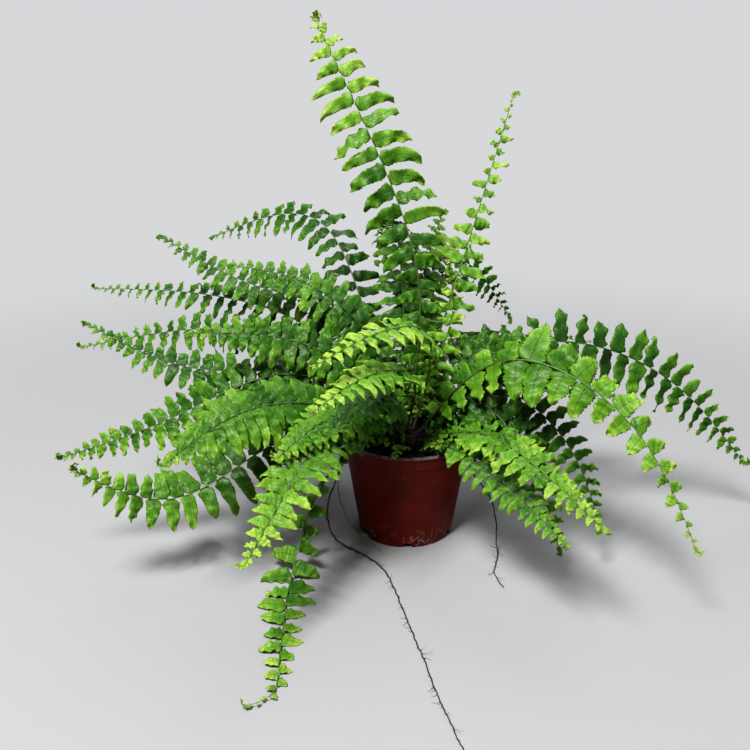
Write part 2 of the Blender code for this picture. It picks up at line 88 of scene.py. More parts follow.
# The potting mix and the crown
FIT_GAP = 0.3 * MM
MIX_BELOW_RIM = 4.0 * MM
MIX_LUMP = 0.9 * MM
MIX_LEVEL = POT_HEIGHT - MIX_BELOW_RIM
MIX_RINGS = 30
MIX_SIDES = 110
MIX_SEED = 11
CRUMB_SIZE = 2.3 * MM
CRUMB_FROM_EDGE = 1.4 * MM
CRUMBS_PER_FIBRE = 6
FIBRE_RADIUS = 0.11 * MM
FIBRE_STEPS = 8
FIBRE_SIDES = 5
FIBRE_LIFT = 0.45 * MM
CROWN_RADIUS = 17 * MM
CROWN_HEIGHT = 10 * MM
CROWN_RIM_SHARE = 0.97
CROWN_EDGE = CROWN_RADIUS / MM
CROWN_RINGS = 16
CROWN_SIDES = 64
CROWN_SEED = 23
STUB_COUNT = 12
STUB_SIDES = 8
STUB_RADII = (0.85 * MM, 0.75 * MM, 0.7 * MM, 0.4 * MM)
SCALE_THICKNESS = 0.06 * MM
SCALE_TIP = 0.02 * MM

# The fronds. A grid is how many points a leaflet has along and across it.
STALK_WIDTH = 1.5 * MM
STALK_HEIGHT = 1.1 * MM
STALK_TIP = 0.3 * MM
ROUTE_STEPS = 400
INWARD_LEAN = 0.35
LOWEST_SHARE = 0.62
SHARE_GROWTH = 1.9
TAPER_LOSS = 0.88
TAPER_CURVE = 1.7
CROWDING = 1.25
LOW_REACH = 0.88
LOW_SIZE = 0.60
CURL_STEPS = 26
CURL_LEAFLETS = 5
SMALLEST_LEAFLET = 1.7 * MM
SMALL_LEAFLET = 6.5 * MM
SMALLEST_WIDTH = 2.0 * MM
CURL_GAP = 1.5 * MM
SIDE_SHIFT = 0.25
WILD_SHARE = 0.10
LEAFLET_GRID = (26, 9)
SMALL_LEAFLET_GRID = (12, 5)
CROZIER_LEAFLET_GRID = (10, 5)
MARGIN_HALF = 0.07 * MM
CLEARANCE = 0.5 * MM
SUNK_DEPTH = 8 * MM
STALK_POINTS = 100
STALK_CURL_POINTS = 22
STALK_SIDES = 8
STALK_ROOTED = 2.2 * MM
STALK_SCALES = 18
SPROUT_SCALES = 4
STALK_SCALE_WIDTH = 0.36 * MM
FROND_SEED = 100

# Hanging lines and croziers
RUNNER_RADIUS = 0.6 * MM
ROOTLET_RADIUS = 0.4 * MM
RIM_CLEARANCE = 2.0 * MM
RIM_CORNER = 0.7
CROZIER_RADIUS = 0.8 * MM
CROZIER_COIL = 3.2 * MM
CROZIER_TURNS = 1.15
COIL_TIGHTENING = 0.52
CROZIER_THINNING = 0.45
CROZIER_ROOTED = 0.8 * MM
CROZIER_SIDES = 12
CROZIER_SCALES = 46
CROZIER_SCALE_WIDTH = 0.26 * MM
CROZIER_LEAFLET_WIDTH = 1.15 * MM
CROZIER_SEED = 500
COIL_STEPS = 60
RUNNER_SLIMNESS = 0.8
RUNNER_SIDES = 9
RUNNER_SEED = 700
ROOTLETS_PER_POINT = 0.22
ROOTLET_STEPS = 9
ROOTLET_SIDES = 5
FINE_ROOT_RADIUS = 0.13 * MM
NOISE_OFFSETS = ((0.3, 0.1, 0.7), (31.7, 5.2, 0.4), (0.8, 57.3, 12.1))

# Colours and gloss that stay as they are
LEAF_GLOSS = (0.90, 1.0, 0.62, 1)
LIGHT_THROUGH_LEAF = 0.27
THROUGH_LIGHT = (1.0, 1.0, 0.45, 1.0)
OLD_WOOD = (0.013, 0.011, 0.004, 1)
YOUNG_WOOD = (0.050, 0.062, 0.012, 1)
OLD_STALK = (0.030, 0.085, 0.012, 1)
YOUNG_STALK = (0.110, 0.240, 0.022, 1)
# Painted reflection: the blue-grey sheen of the pale sky on the pot's lip
PAINTED_LIP_SHEEN = (0.16, 0.21, 0.26, 1)
ROOT_MARK = (0.42, 0.38, 0.36, 1)
WHITE_GRAIN = (0.45, 0.42, 0.36, 1)

# The stage, and the camera's view
WALL_RADIUS = 2.6
WALL_HEIGHT = 2.2
SWEEP = 1.2
BACKDROP_GLOW = (0.68, 0.685, 0.70, 1)
BACKDROP_REACH = (0.22, 0.75)
BOUNCE = 0.28
VIEW_ANGLE = 44.0
VIEW_PITCH = 19.5
VIEW_DISTANCE = 0.53
VIEW_AIM = (-0.0185, 0, 0.096)
FLOOR_RINGS = (0.3, 1.0)
FLOOR_SIDES = 96
SWEEP_STEPS = 24
SKY_COLOUR = (0.93, 0.96, 1.0, 1)
LIT_SPOT = (0, 0, 0.14)

# Each soft light's setting, size, place and colour
LIGHTS = (
    ("key", 0.42, (-0.45, -0.75, 1.48), (1.0, 0.99, 0.97)),
    ("fill", 1.1, (1.25, -0.55, 0.75), (0.95, 0.97, 1.0)),
    ("back", 1.0, (0.35, 1.15, 1.35), (1.0, 1.0, 1.0)),
)

# A frond grows from a seat on the crown, given by its bearing in degrees and its ring in mm. Bearings run
# from +X towards +Y. The route's next points, in mm, are measured from the pot's axis and up from its rim.
# leaflet is the longest leaflet in mm, bare the share of the stalk without leaflets, and turn how far the
# blade's upper face turns from looking up, at 0, towards looking at -Y. habit names the leaflets' shape, and
# low and high are the tone of the green near the crown and at the tip, from 0, dark, to 1, lime. A row that
# leaves these three out has the look of the fronds at the back.
BACK_LOOK = ("sword", 0.3, 0.46)
Frond = namedtuple("Frond", "name seat route leaflet pairs bare turn habit low high", defaults=BACK_LOOK)

FROND_ROWS = (
    ("tall_frond", (100, 1.5),
     ((6, 8, 88), (-18, 20, 160), (-50, 30, 226)), 24, 17, 0.36, 4.0, "tall", 0.36, 0.84),
    ("slender_upright_frond", (20, 2),
     ((22, 15, 68), (42, 35, 128), (60, 50, 186)), 17, 17, 0.34, 3.0, "slender", 0.62, 0.78),
    ("far_right_frond", (2, 9.5),
     ((64, 5, 51), (143, 10, 36), (204, 14, -24)), 23, 19, 0.24, 1.6, "open", 0.3, 0.5),
    ("front_right_frond", (330, 9.5),
     ((56, -35, 57), (110, -70, 34), (138, -100, -18)), 25, 17, 0.25, 1.0, "broad", 0.52, 0.74),
    ("left_low_frond", (200, 14.5),
     ((-68, -27, 8), (-124, -55, -14), (-168, -80, 14)), 22, 16, 0.25, 1.2, "open", 0.3, 0.68),
    ("left_wide_frond", (196, 9.5),
     ((-66, -13, 41), (-127, -27, 22), (-188, -40, 3)), 19, 18, 0.25, 0.9, "sword", 0.34, 0.54),
    ("front_left_frond", (240, 14.5),
     ((-42, -50, 20), (-62, -98, 10), (-76, -138, -4)), 20, 14, 0.2, 0.5, "flame", 0.46, 0.8),
    ("front_right_low_frond", (314, 14.5),
     ((38, -45, 19), (66, -90, 15), (88, -120, 2)), 17, 14, 0.2, 0.6, "crinkled", 0.54, 0.74),
    ("lime_upper_frond", (310, 6),
     ((10, -20, 66), (-18, -60, 79), (-46, -98, 75)), 15, 14, 0.3, 0.7, "lime", 0.64, 1),
    ("lime_lower_frond", (268, 6),
     ((2, -32, 46), (-26, -80, 62), (-46, -118, 60)), 16, 15, 0.26, 0.7, "lime", 0.56, 0.96),
    ("left_shoulder_frond", (212, 14.5),
     ((-48, -30, 29), (-90, -65, 37), (-118, -98, 26)), 24, 15, 0.22, 1.0, "sword", 0.4, 0.56),
    ("left_mid_frond", (180, 9.5),
     ((-61, 0, 36), (-121, 0, 40), (-179, 0, 66)), 17, 17, 0.25, 0.9, "sword", 0.26, 0.46),
    ("left_inner_frond", (190, 6),
     ((-38, -8, 47), (-78, -14, 64), (-117, -20, 67)), 20, 14, 0.2, 1.2, "sword", 0.34, 0.5),
    ("left_high_frond", (150, 6),
     ((-28, 20, 60), (-88, 36, 79), (-144, 50, 105)), 18, 16, 0.28, 1.2, "sword", 0.26, 0.46),
    ("left_far_frond", (166, 10.5),
     ((-56, 11, 50), (-121, 22, 57), (-193, 31, 43)), 15, 17, 0.25, 1.0, "sword", 0.26, 0.56),
    ("back_left_long_frond", (150, 11),
     ((-48, 30, 48), (-118, 60, 67), (-200, 90, 64)), 15, 17, 0.25, 0.8, "sword", 0.22, 0.58),
    ("back_left_arching_frond", (115, 6),
     ((-24, 40, 60), (-54, 80, 110), (-126, 118, 93)), 19, 18, 0.28, 0.8, "open", 0.12, 0.52),
    ("back_right_drooping_frond", (60, 6),
     ((10, 30, 54), (30, 62, 88), (70, 90, 45)), 17, 14, 0.28, 1.2, "sword", 0.26, 0.4),
    ("back_upright_frond", (82, 6),
     ((4, 30, 58), (11, 48, 86), (22, 60, 118)), 17, 11, 0.34, 2.5, "sword", 0.36, 0.6),
    ("back_right_thin_frond", (35, 7),
     ((30, 20, 45), (72, 36, 49), (118, 52, 39)), 14, 13, 0.25, 0.9, "slender", 0.4, 0.55),
    ("right_hanging_frond", (342, 14.5),
     ((46, -19, 35), (80, -35, 17), (104, -50, -34)), 17, 13, 0.2, 1.2, "sword", 0.26, 0.46),
    ("right_dark_frond", (328, 14.5),
     ((38, -22, 27), (60, -46, 10), (80, -62, -40)), 19, 12, 0.15, 1.2, "crinkled", 0.3, 0.44),
    ("front_right_under_frond", (300, 14.5),
     ((27, -38, 8), (54, -78, -1), (72, -112, -10)), 15, 13, 0.2, 0.5, "sword", 0.44, 0.58),
    ("front_shaded_frond", (252, 10.5),
     ((-10, -30, 33), (-27, -58, 42), (-42, -86, 36)), 17, 12, 0.2, 0.8, "sword", 0.16, 0.3),
    ("back_right_frond", (18, 14.5),
     ((50, 19, 31), (95, 40, 34), (132, 60, 2)), 18, 13, 0.22, 0.3),
    ("back_right_inner_frond", (40, 12.5),
     ((40, 34, 36), (74, 68, 38), (98, 98, 2)), 18, 13, 0.22, 0.2),
    ("back_frond", (62, 12.5),
     ((23, 42, 33), (42, 84, 36), (56, 124, 4)), 18, 14, 0.22, 0.0),
    ("back_high_frond", (86, 11),
     ((5, 42, 46), (8, 88, 52), (8, 134, 16)), 19, 14, 0.24, 0.0),
    ("back_left_frond", (108, 12.5),
     ((-13, 45, 30), (-26, 88, 30), (-36, 126, -8)), 18, 14, 0.22, 0.0),
    ("back_left_inner_frond", (130, 11),
     ((-32, 38, 33), (-62, 74, 36), (-88, 106, 4)), 18, 13, 0.22, 0.2),
    ("left_lower_back_frond", (148, 14.5),
     ((-42, 25, 22), (-82, 50, 16), (-112, 70, -22)), 17, 12, 0.22, 0.4),
    ("back_low_frond", (76, 15),
     ((14, 46, 10), (24, 80, -8), (30, 104, -42)), 15, 10, 0.22, 0.0),
    ("back_left_low_frond", (118, 15.5),
     ((-22, 44, 10), (-40, 74, -8), (-52, 96, -42)), 15, 10, 0.22, 0.0),
    ("front_left_inner_frond", (226, 10),
     ((-24, -28, 24), (-46, -56, 30), (-66, -82, 22)), 18, 12, 0.2, 0.8, "sword", 0.4, 0.6),
    ("right_inner_frond", (350, 6),
     ((34, -8, 50), (66, -18, 50), (92, -26, 30)), 17, 12, 0.22, 1.2, "sword", 0.3, 0.5),
    ("right_low_frond", (356, 14.5),
     ((44, -4, 18), (70, -8, 4), (84, -12, -30)), 16, 10, 0.2, 0.8, "sword", 0.26, 0.4),
    ("left_upper_inner_frond", (170, 3.2),
     ((-24, 6, 60), (-60, 12, 88), (-98, 16, 96)), 18, 13, 0.25, 1.2, "sword", 0.3, 0.48),
    ("left_low_inner_frond", (184, 14.5),
     ((-50, -8, 22), (-88, -18, 14), (-112, -26, -8)), 18, 12, 0.22, 0.8, "sword", 0.32, 0.45),
    ("slender_centre_frond", (320, 2.5),
     ((16, -4, 45), (24, -10, 78), (20, -18, 105)), 13, 9, 0.3, 2.0, "slender", 0.66, 0.9),
    ("back_tall_frond", (100, 3.8),
     ((-2, 24, 70), (-6, 56, 108), (-10, 92, 108)), 18, 13, 0.28, 0.0),
    ("back_right_low_frond", (44, 15),
     ((32, 30, 12), (56, 56, -2), (74, 76, -34)), 15, 10, 0.22, 0.0),
    ("rim_sprout_front", (270, CROWN_EDGE + 1),
     ((-2, -26, 3), (-5, -34, 6), (-8, -42, 4)), 5, 5, 0.3, 0.5, "sprout", 0.62, 0.8),
    ("rim_sprout_centre", (290, CROWN_EDGE + 3),
     ((9, -25, 2), (12, -30, 6), (15, -36, 7)), 5, 4, 0.3, 0.5, "sprout", 0.6, 0.78),
    ("rim_sprout_right", (310, CROWN_EDGE + 3),
     ((19, -24, 2), (25, -30, 6), (31, -36, 3)), 6, 5, 0.3, 0.5, "sprout", 0.66, 0.86),
)
FRONDS = tuple(Frond(*row) for row in FROND_ROWS)

# The trailing frond falls over the rim and then lies along the surface. Each point of its fall is a bearing,
# the mm beyond the rim's edge, and a share of the pot's height. The points on the surface are in mm from the
# pot's axis.
TRAILING_SEAT = (226, 15)
TRAILING_FALL = ((226, -3, 1.14), (228, 20, 1.02), (222, 32, 0.66), (219, 40, 0.24))
TRAILING_ON_SURFACE = ((-64, -68), (-64, -106), (-63, -142), (-66, -161), (-73, -166))
TRAILING_HEIGHT = 2.0 * MM
TRAILING_FROND = Frond("trailing_frond", TRAILING_SEAT, None, 17, 17, 0.36, 0.0, "oval", 0.50, 0.72)

# Each hanging line goes over the rim at a bearing, then through points in mm: from the pot's axis, and up
# from the surface. steps is how many points its curve is made of.
HangingLine = namedtuple("HangingLine", "name start bearing radius steps route")

HANGING_LINES = (
    HangingLine(
        "long_runner", (208, CROWN_EDGE + 5), 207, RUNNER_RADIUS, 260,
        ((-45, -22, 28), (-41, -26, 5), (-30, -32, 0.6), (-15, -50, 0.6), (-6, -82, 0.6), (4, -130, 0.6),
         (10, -160, 0.6), (18, -192, 0.6)),
    ),
    HangingLine(
        "short_runner", (330, CROWN_EDGE + 7), 328, RUNNER_RADIUS, 130,
        ((49, -26, 26), (51, -30, 6), (51, -38, 0.6), (47, -54, 0.6), (50, -70, 0.6)),
    ),
    HangingLine(
        "grey_root", (196, CROWN_EDGE + 6), 196, ROOTLET_RADIUS, 130,
        ((-40, -15, 34), (-31, -24, 12), (-15, -31, 0.5)),
    ),
)

# A crozier stands at a bearing and a radius in mm, with its coil's centre this many mm over the rim.
CROZIERS = (
    ("crozier_left", 243, CROWN_EDGE + 3, 9),
    ("crozier_front", 262, CROWN_EDGE + 3, 5),
    ("crozier_back", 96, CROWN_EDGE + 3, 12),
)

# How a habit's leaflets look: each row holds one value for each habit, in this order
HABIT_NAMES = ("tall", "sword", "open", "broad", "crinkled", "lime", "oval", "flame", "slender", "sprout")
HABIT_VALUES = {
    # Width as a share of the frond's longest leaflet
    "breadth": (0.33, 0.4, 0.38, 0.6, 0.46, 0.44, 0.56, 0.43, 0.46, 0.66),
    # Width at most, as a share of the gap to the next leaflet
    "fullness": (0.92, 1.28, 1.0, 1.75, 1.25, 0.86, 0.98, 1.22, 1.05, 1.2),
    # Outline from 0, a strap, to 1, a triangle
    "point": (0.08, 0.1, 0.08, 0.26, 0.22, 0.82, 0.28, 0.58, 0.45, 0.3),
    # Pairs for each pair that the frame's plain frond has
    "pairs": (0.87, 1.24, 0.98, 0.84, 1.12, 0.9, 0.74, 1.04, 0.92, 1.0),
    # How much shorter leaflets get along the frond
    "fade": (0.0, 0.0, 0.0, 0.46, 0.1, 0.1, 0.2, 0.0, 0.52, 0.0),
    # Where along the frond the leaflets start to shorten towards its tip
    "taper": (0.62, 0.35, 0.42, 0.35, 0.35, 0.35, 0.3, 0.35, 0.62, 0.35),
    # How far a leaflet leans towards the frond's tip, and how far it droops along its length
    "lean": (0.15, 0.08, 0.05, 0.1, 0.08, 0.1, 0.05, -0.04, 0.15, 0.14),
    "droop": (1.05, 0.6, 0.6, 0.5, 0.55, 0.55, 0.3, 0.28, 0.5, 0.2),
    # How far its tip hooks down, and how far it curves towards the frond's tip
    "hook": (1.0, 0.75, 1.0, 0.6, 0.6, 1.0, 0.5, 0.45, 1.2, 0.5),
    "sickle": (-0.14, 0.04, 0.04, 0.06, 0.12, 0.24, 0.04, -0.08, 0.2, 0.1),
    # How far its front edge is turned down
    "tilt": (0.1, 0.22, 0.12, 0.1, 0.18, 0.2, 0.12, 0.2, 0.25, 0.2),
    # Height of its edges' waves as a share of its width, and how many waves there are
    "ruffle": (0.19, 0.15, 0.15, 0.11, 0.18, 0.14, 0.13, 0.18, 0.26, 0.14),
    "waves": (2.3, 2.4, 2.2, 2.2, 2.6, 1.6, 2.0, 2.2, 1.6, 1.5),
    # Height of the swells between its veins, and how far its edges hang, as shares of its width
    "puff": (0.03, 0.034, 0.034, 0.034, 0.045, 0.034, 0.034, 0.04, 0.04, 0.04),
    "cup": (0.07, 0.08, 0.07, 0.05, 0.05, 0.12, 0.07, 0.08, 0.18, 0.1),
    # How many teeth its edges have, and how deep they are cut
    "teeth": (9, 8, 9, 9, 7, 4, 7, 6, 4, 4),
    "depth": (0.14, 0.15, 0.14, 0.26, 0.15, 0.08, 0.08, 0.2, 0.1, 0.14),
    # How far the lobe at its root stands out
    "lobe": (0.26, 0.28, 0.24, 0.18, 0.22, 0.24, 0.12, 0.24, 0.16, 0.1),
    # How much the leaflets' lengths differ
    "uneven": (0.08, 0.08, 0.08, 0.08, 0.08, 0.08, 0.08, 0.08, 0.3, 0.08),
}
Habit = namedtuple("Habit", HABIT_VALUES)
HABITS = {name: Habit(*values) for name, values in zip(HABIT_NAMES, zip(*HABIT_VALUES.values()))}

# What every colour setting shares
COLOUR = {"subtype": "COLOR", "size": 4, "min": 0, "max": 1}


class FernPotSettings(bpy.types.PropertyGroup):
    """Sizes and colours of the nursery pot."""

    plastic: FloatVectorProperty(
        name="Plastic", description="Colour of the moulded plastic",
        default=(0.235, 0.0125, 0.0040, 1.0), **COLOUR)
    rounding: FloatProperty(
        name="Edge rounding", description="Radius of the moulded edges",
        unit="LENGTH", default=0.28 * MM, min=0.05 * MM)
    segments: IntProperty(name="Segments", description="Sides of the turned pot", default=144, min=24)


class FernLeafSettings(bpy.types.PropertyGroup):
    """Colours and form of the fronds."""

    dark: FloatVectorProperty(
        name="Dark green", description="Colour of the oldest leaflets",
        default=(0.002, 0.024, 0.002, 1.0), **COLOUR)
    middle: FloatVectorProperty(
        name="Middle green", description="Colour of grown leaflets",
        default=(0.024, 0.135, 0.004, 1.0), **COLOUR)
    fresh: FloatVectorProperty(
        name="Fresh green", description="Colour of leaflets that have just grown",
        default=(0.150, 0.400, 0.018, 1.0), **COLOUR)
    lime: FloatVectorProperty(
        name="Lime", description="Colour of the youngest leaflets",
        default=(0.480, 0.730, 0.085, 1.0), **COLOUR)
    thickness: FloatProperty(
        name="Leaflet thickness", description="Thickness of a leaflet at its middle",
        unit="LENGTH", default=0.22 * MM, min=0.05 * MM)
    liveliness: FloatProperty(
        name="Liveliness", description="How much the leaflets differ from each other, where 1 is as grown",
        subtype="FACTOR", default=1.0, min=0, soft_max=2)


class FernGroundSettings(bpy.types.PropertyGroup):
    """Sizes and colours of the potting mix, the crown, the runners and the roots."""

    # Near black: partly the damp peat's own dark colour, partly painted shade from the fronds over the pot
    peat: FloatVectorProperty(
        name="Peat", description="Colour of the potting mix",
        default=(0.006, 0.0038, 0.0026, 1.0), **COLOUR)
    # Near black: partly the dry scales' own dark brown, partly painted shade from the fronds over the crown
    scale_brown: FloatVectorProperty(
        name="Scale brown", description="Colour of the crown's dry scales",
        default=(0.008, 0.0040, 0.0019, 1.0), **COLOUR)
    runner_brown: FloatVectorProperty(
        name="Runner brown", description="Colour of the runners and roots",
        default=(0.030, 0.014, 0.008, 1.0), **COLOUR)
    root_grey: FloatVectorProperty(
        name="Root grey", description="Colour of the fine root",
        default=(0.120, 0.090, 0.075, 1.0), **COLOUR)
    crumbs: IntProperty(name="Crumbs", description="Loose crumbs on the potting mix", default=620, min=0)
    scales: IntProperty(name="Scales", description="Dry scales on the crown", default=240, min=0)


class FernStageSettings(bpy.types.PropertyGroup):
    """The floor's colour and the lights."""

    floor: FloatVectorProperty(
        name="Floor", description="Colour of the floor",
        default=(0.358, 0.362, 0.370, 1.0), **COLOUR)
    key: FloatProperty(
        name="Key light", description="Power of the soft main light", unit="POWER", default=49)
    fill: FloatProperty(
        name="Fill light", description="Power of the soft side light", unit="POWER", default=3)
    back: FloatProperty(
        name="Back light", description="Power of the soft back light", unit="POWER", default=14)
    sky: FloatProperty(name="Sky", description="Strength of the even light all round", default=0.085, min=0)


# Shader nodes


def add_node(tree, kind, values=None, **settings):
    """A new node with its settings, and with its inputs linked or set by socket."""
    node = tree.nodes.new(kind)
    for name, value in settings.items():
        setattr(node, name, value)
    for socket, value in (values or {}).items():
        feed(tree, value, node.inputs[socket])
    return node


def feed(tree, value, socket):
    """Links a socket's value, or sets a plain one."""
    if isinstance(value, bpy.types.NodeSocket):
        tree.links.new(value, socket)
    else:
        socket.default_value = value


def maths(tree, operation, *values, clamp=False):
    return add_node(
        tree, "ShaderNodeMath", dict(enumerate(values)), operation=operation, use_clamp=clamp
    ).outputs[0]


def times(tree, first, second):
    return maths(tree, "MULTIPLY", first, second)


def spread(tree, value, low, high, first=0.0, last=1.0):
    """A value between low and high, smoothly carried over to between first and last."""
    return add_node(
        tree,
        "ShaderNodeMapRange",
        {"Value": value, "From Min": low, "From Max": high, "To Min": first, "To Max": last},
        interpolation_type="SMOOTHSTEP",
    ).outputs[0]


def mixed(tree, factor, first, second, blend_type="MIX"):
    """The colour between the first and the second."""
    node = add_node(tree, "ShaderNodeMix", data_type="RGBA", blend_type=blend_type)
    feed(tree, factor, node.inputs[0])
    feed(tree, first, node.inputs[6])
    feed(tree, second, node.inputs[7])
    return node.outputs[2]


def cloudy(tree, place, scale, detail=3.0, roughness=0.55):
    """Soft noise from about 0.2 to 0.8. scale is how many patches there are in a metre."""
    values = {"Vector": place, "Scale": scale, "Detail": detail, "Roughness": roughness}
    return add_node(tree, "ShaderNodeTexNoise", values).outputs["Fac"]


def toned(colour, share, more=0.0):
    """The colour with each part multiplied by a share, and a little more added."""
    return tuple(share * part + more for part in colour[:3]) + (1.0,)


def object_place(tree):
    return add_node(tree, "ShaderNodeTexCoord").outputs["Object"]


def attribute(tree, name):
    return add_node(tree, "ShaderNodeAttribute", attribute_name=name).outputs["Fac"]


def new_group(name, inputs, outputs):
    """An empty node group. inputs are (name, socket kind, default), and outputs (name, socket kind)."""
    group = bpy.data.node_groups.new(name, "ShaderNodeTree")
    for title, kind, default in inputs:
        socket = group.interface.new_socket(name=title, in_out="INPUT", socket_type="NodeSocket" + kind)
        socket.default_value = default
    for title, kind in outputs:
        group.interface.new_socket(name=title, in_out="OUTPUT", socket_type="NodeSocket" + kind)
    return group, group.nodes.new("NodeGroupInput"), group.nodes.new("NodeGroupOutput")


def place_group(tree, group, values):
    node = tree.nodes.new("ShaderNodeGroup")
    node.node_tree = group
    for socket, value in values.items():
        feed(tree, value, node.inputs[socket])
    return node


def dust_group():
    """Pale specks that lie on a surface."""
    group, given, out = new_group(
        "dust", [("Place", "Vector", (0, 0, 0)), ("Scale", "Float", 900.0), ("Amount", "Float", 0.1)],
        [("Mask", "Float")],
    )
    cells = add_node(
        group, "ShaderNodeTexVoronoi", {"Vector": given.outputs["Place"], "Scale": given.outputs["Scale"]}
    )
    speck = spread(group, cells.outputs["Distance"], 0.10, 0.22, 1.0, 0.0)
    pick = add_node(group, "ShaderNodeSeparateColor", {"Color": cells.outputs["Color"]}).outputs[0]
    chosen = maths(group, "LESS_THAN", pick, given.outputs["Amount"])
    group.links.new(times(group, speck, chosen), out.inputs["Mask"])
    return group


def fibre_group():
    """Fine streaks that run along a stalk, a scale or a root."""
    group, given, out = new_group(
        "fibre", [("Place", "Vector", (0, 0, 0)), ("Scale", "Float", 700.0), ("Along", "Float", 0.0)],
        [("Shade", "Float"), ("Height", "Float")],
    )
    streak = cloudy(group, given.outputs["Place"], given.outputs["Scale"], 4.0, 0.65)
    patch = cloudy(group, given.outputs["Place"], times(group, given.outputs["Scale"], 0.16))
    ring = maths(group, "SINE", times(group, given.outputs["Along"], 420.0))
    shade = maths(group, "MULTIPLY_ADD", patch, 0.6, times(group, streak, 0.4))
    group.links.new(shade, out.inputs["Shade"])
    group.links.new(maths(group, "MULTIPLY_ADD", ring, 0.12, streak), out.inputs["Height"])
    return group


def leaf_group(look):
    """The green of a leaflet: its tone, its paler edges and tip, its midrib and its side veins."""
    group, given, out = new_group(
        "leaf_green",
        [("Place", "Vector", (0, 0, 0)), ("Tone", "Float", 0.4), ("Along", "Float", 0.5),
         ("Across", "Float", 0.0)],
        [("Color", "Color"), ("Glow", "Color"), ("Roughness", "Float"), ("Height", "Float")],
    )
    place, along, across = (given.outputs[name] for name in ("Place", "Along", "Across"))
    off_rib = maths(group, "ABSOLUTE", across)
    broad_patch = maths(group, "SUBTRACT", cloudy(group, place, 130.0, 2.0), 0.5)
    fine_patch = maths(group, "SUBTRACT", cloudy(group, place, 620.0, 3.0), 0.5)
    edge = times(group, spread(group, off_rib, 0.45, 1.0), 0.15)
    tip = spread(group, along, 0.15, 1.0, -0.08, 0.20)
    tone = maths(group, "ADD", given.outputs["Tone"], maths(group, "ADD", edge, tip))
    tone = maths(group, "MULTIPLY_ADD", broad_patch, 0.34, tone)
    tone = maths(group, "MULTIPLY_ADD", fine_patch, 0.42, tone, clamp=True)
    ramp = add_node(group, "ShaderNodeValToRGB", {"Fac": tone})
    stops = ramp.color_ramp.elements
    stops.new(0.34).color = look.middle
    stops.new(0.68).color = look.fresh
    stops[0].color = look.dark
    stops[-1].color = look.lime
    rib = spread(group, off_rib, 0.015, 0.075, 1.0, 0.0)
    slant = maths(group, "MULTIPLY_ADD", off_rib, -0.16, along)
    vein_wave = maths(group, "ABSOLUTE", maths(group, "SINE", times(group, slant, 44.0)))
    vein = times(group, spread(group, vein_wave, 0.0, 0.65, 1.0, 0.0), 0.5)
    lines = maths(group, "MAXIMUM", rib, vein)
    shaded = mixed(group, times(group, lines, 0.55), ramp.outputs["Color"], look.dark)
    group.links.new(shaded, out.inputs["Color"])
    glow = mixed(group, 1.0, shaded, THROUGH_LIGHT, "MULTIPLY")
    group.links.new(glow, out.inputs["Glow"])
    group.links.new(maths(group, "MULTIPLY_ADD", fine_patch, 0.50, 0.40), out.inputs["Roughness"])
    height = maths(group, "MULTIPLY_ADD", lines, -0.7, times(group, fine_patch, 1.2))
    group.links.new(height, out.inputs["Height"])
    return group


def new_material(name):
    material = bpy.data.materials.new(name)
    material.use_nodes = True
    tree = material.node_tree
    return material, tree, tree.nodes["Principled BSDF"]


def dress(tree, shader, height, distance, strength, values):
    """Gives a shader its values, and bumps from a height. distance is how deep they are."""
    bump = add_node(tree, "ShaderNodeBump", {"Height": height, "Distance": distance, "Strength": strength})
    for socket, value in {**values, "Normal": bump.outputs["Normal"]}.items():
        feed(tree, value, shader.inputs[socket])


def blended(tree, share, first, second):
    """Two shaders, with this share of the second."""
    return add_node(tree, "ShaderNodeMixShader", {0: share, 1: first.outputs[0], 2: second.outputs[0]})


def show(tree, shader):
    tree.links.new(shader.outputs[0], tree.nodes["Material Output"].inputs["Surface"])


def leaf_material(name, group):
    """Thin green leaf: a soft gloss on top, and light that comes through from behind."""
    material, tree, shader = new_material(name)
    green = place_group(tree, group, {
        "Place": object_place(tree), "Tone": attribute(tree, "tone"), "Along": attribute(tree, "along"),
        "Across": attribute(tree, "across"),
    })
    dress(
        tree, shader, green.outputs["Height"], 0.16 * MM, 0.8,
        {"Base Color": green.outputs["Color"], "Roughness": green.outputs["Roughness"],
         "Specular IOR Level": 0.40, "Specular Tint": LEAF_GLOSS},
    )
    glow = add_node(tree, "ShaderNodeBsdfTranslucent", {"Color": green.outputs["Glow"]})
    show(tree, blended(tree, LIGHT_THROUGH_LEAF, shader, glow))
    return material


def stalk_material(group):
    """Brown and wiry at the crown, turning green along the frond."""
    material, tree, shader = new_material("frond_stalk")
    along = attribute(tree, "along")
    fibre = place_group(tree, group, {"Place": object_place(tree), "Scale": 1500.0, "Along": along})
    young = spread(tree, attribute(tree, "tone"), 0.3, 0.8)
    wood = mixed(tree, young, OLD_WOOD, YOUNG_WOOD)
    fresh = mixed(tree, young, OLD_STALK, YOUNG_STALK)
    green = mixed(tree, spread(tree, along, 0.10, 0.62), wood, fresh)
    shade = spread(tree, fibre.outputs["Shade"], 0.30, 0.70, 0.55, 1.25)
    grey = add_node(tree, "ShaderNodeCombineColor", {0: shade, 1: shade, 2: shade}).outputs[0]
    colour = mixed(tree, 1.0, green, grey, "MULTIPLY")
    values = {"Base Color": colour, "Roughness": 0.46}
    dress(tree, shader, fibre.outputs["Height"], 0.06 * MM, 0.5, values)
    return material


def fibre_material(name, colour, group, roughness, scale):
    """Dry brown stuff with fine streaks, for scales, runners and roots."""
    material, tree, shader = new_material(name)
    fibre = place_group(tree, group, {
        "Place": object_place(tree), "Scale": scale, "Along": attribute(tree, "along"),
    })
    pale = toned(colour, 2.3, 0.004)
    deep = toned(colour, 0.35)
    chance = times(tree, attribute(tree, "chance"), 0.3)
    light = spread(tree, maths(tree, "ADD", fibre.outputs["Shade"], chance), 0.4, 0.9)
    values = {"Base Color": mixed(tree, light, deep, pale), "Roughness": roughness, "Specular IOR Level": 0.2}
    dress(tree, shader, fibre.outputs["Height"], 0.15 * MM, 0.5, values)
    return material


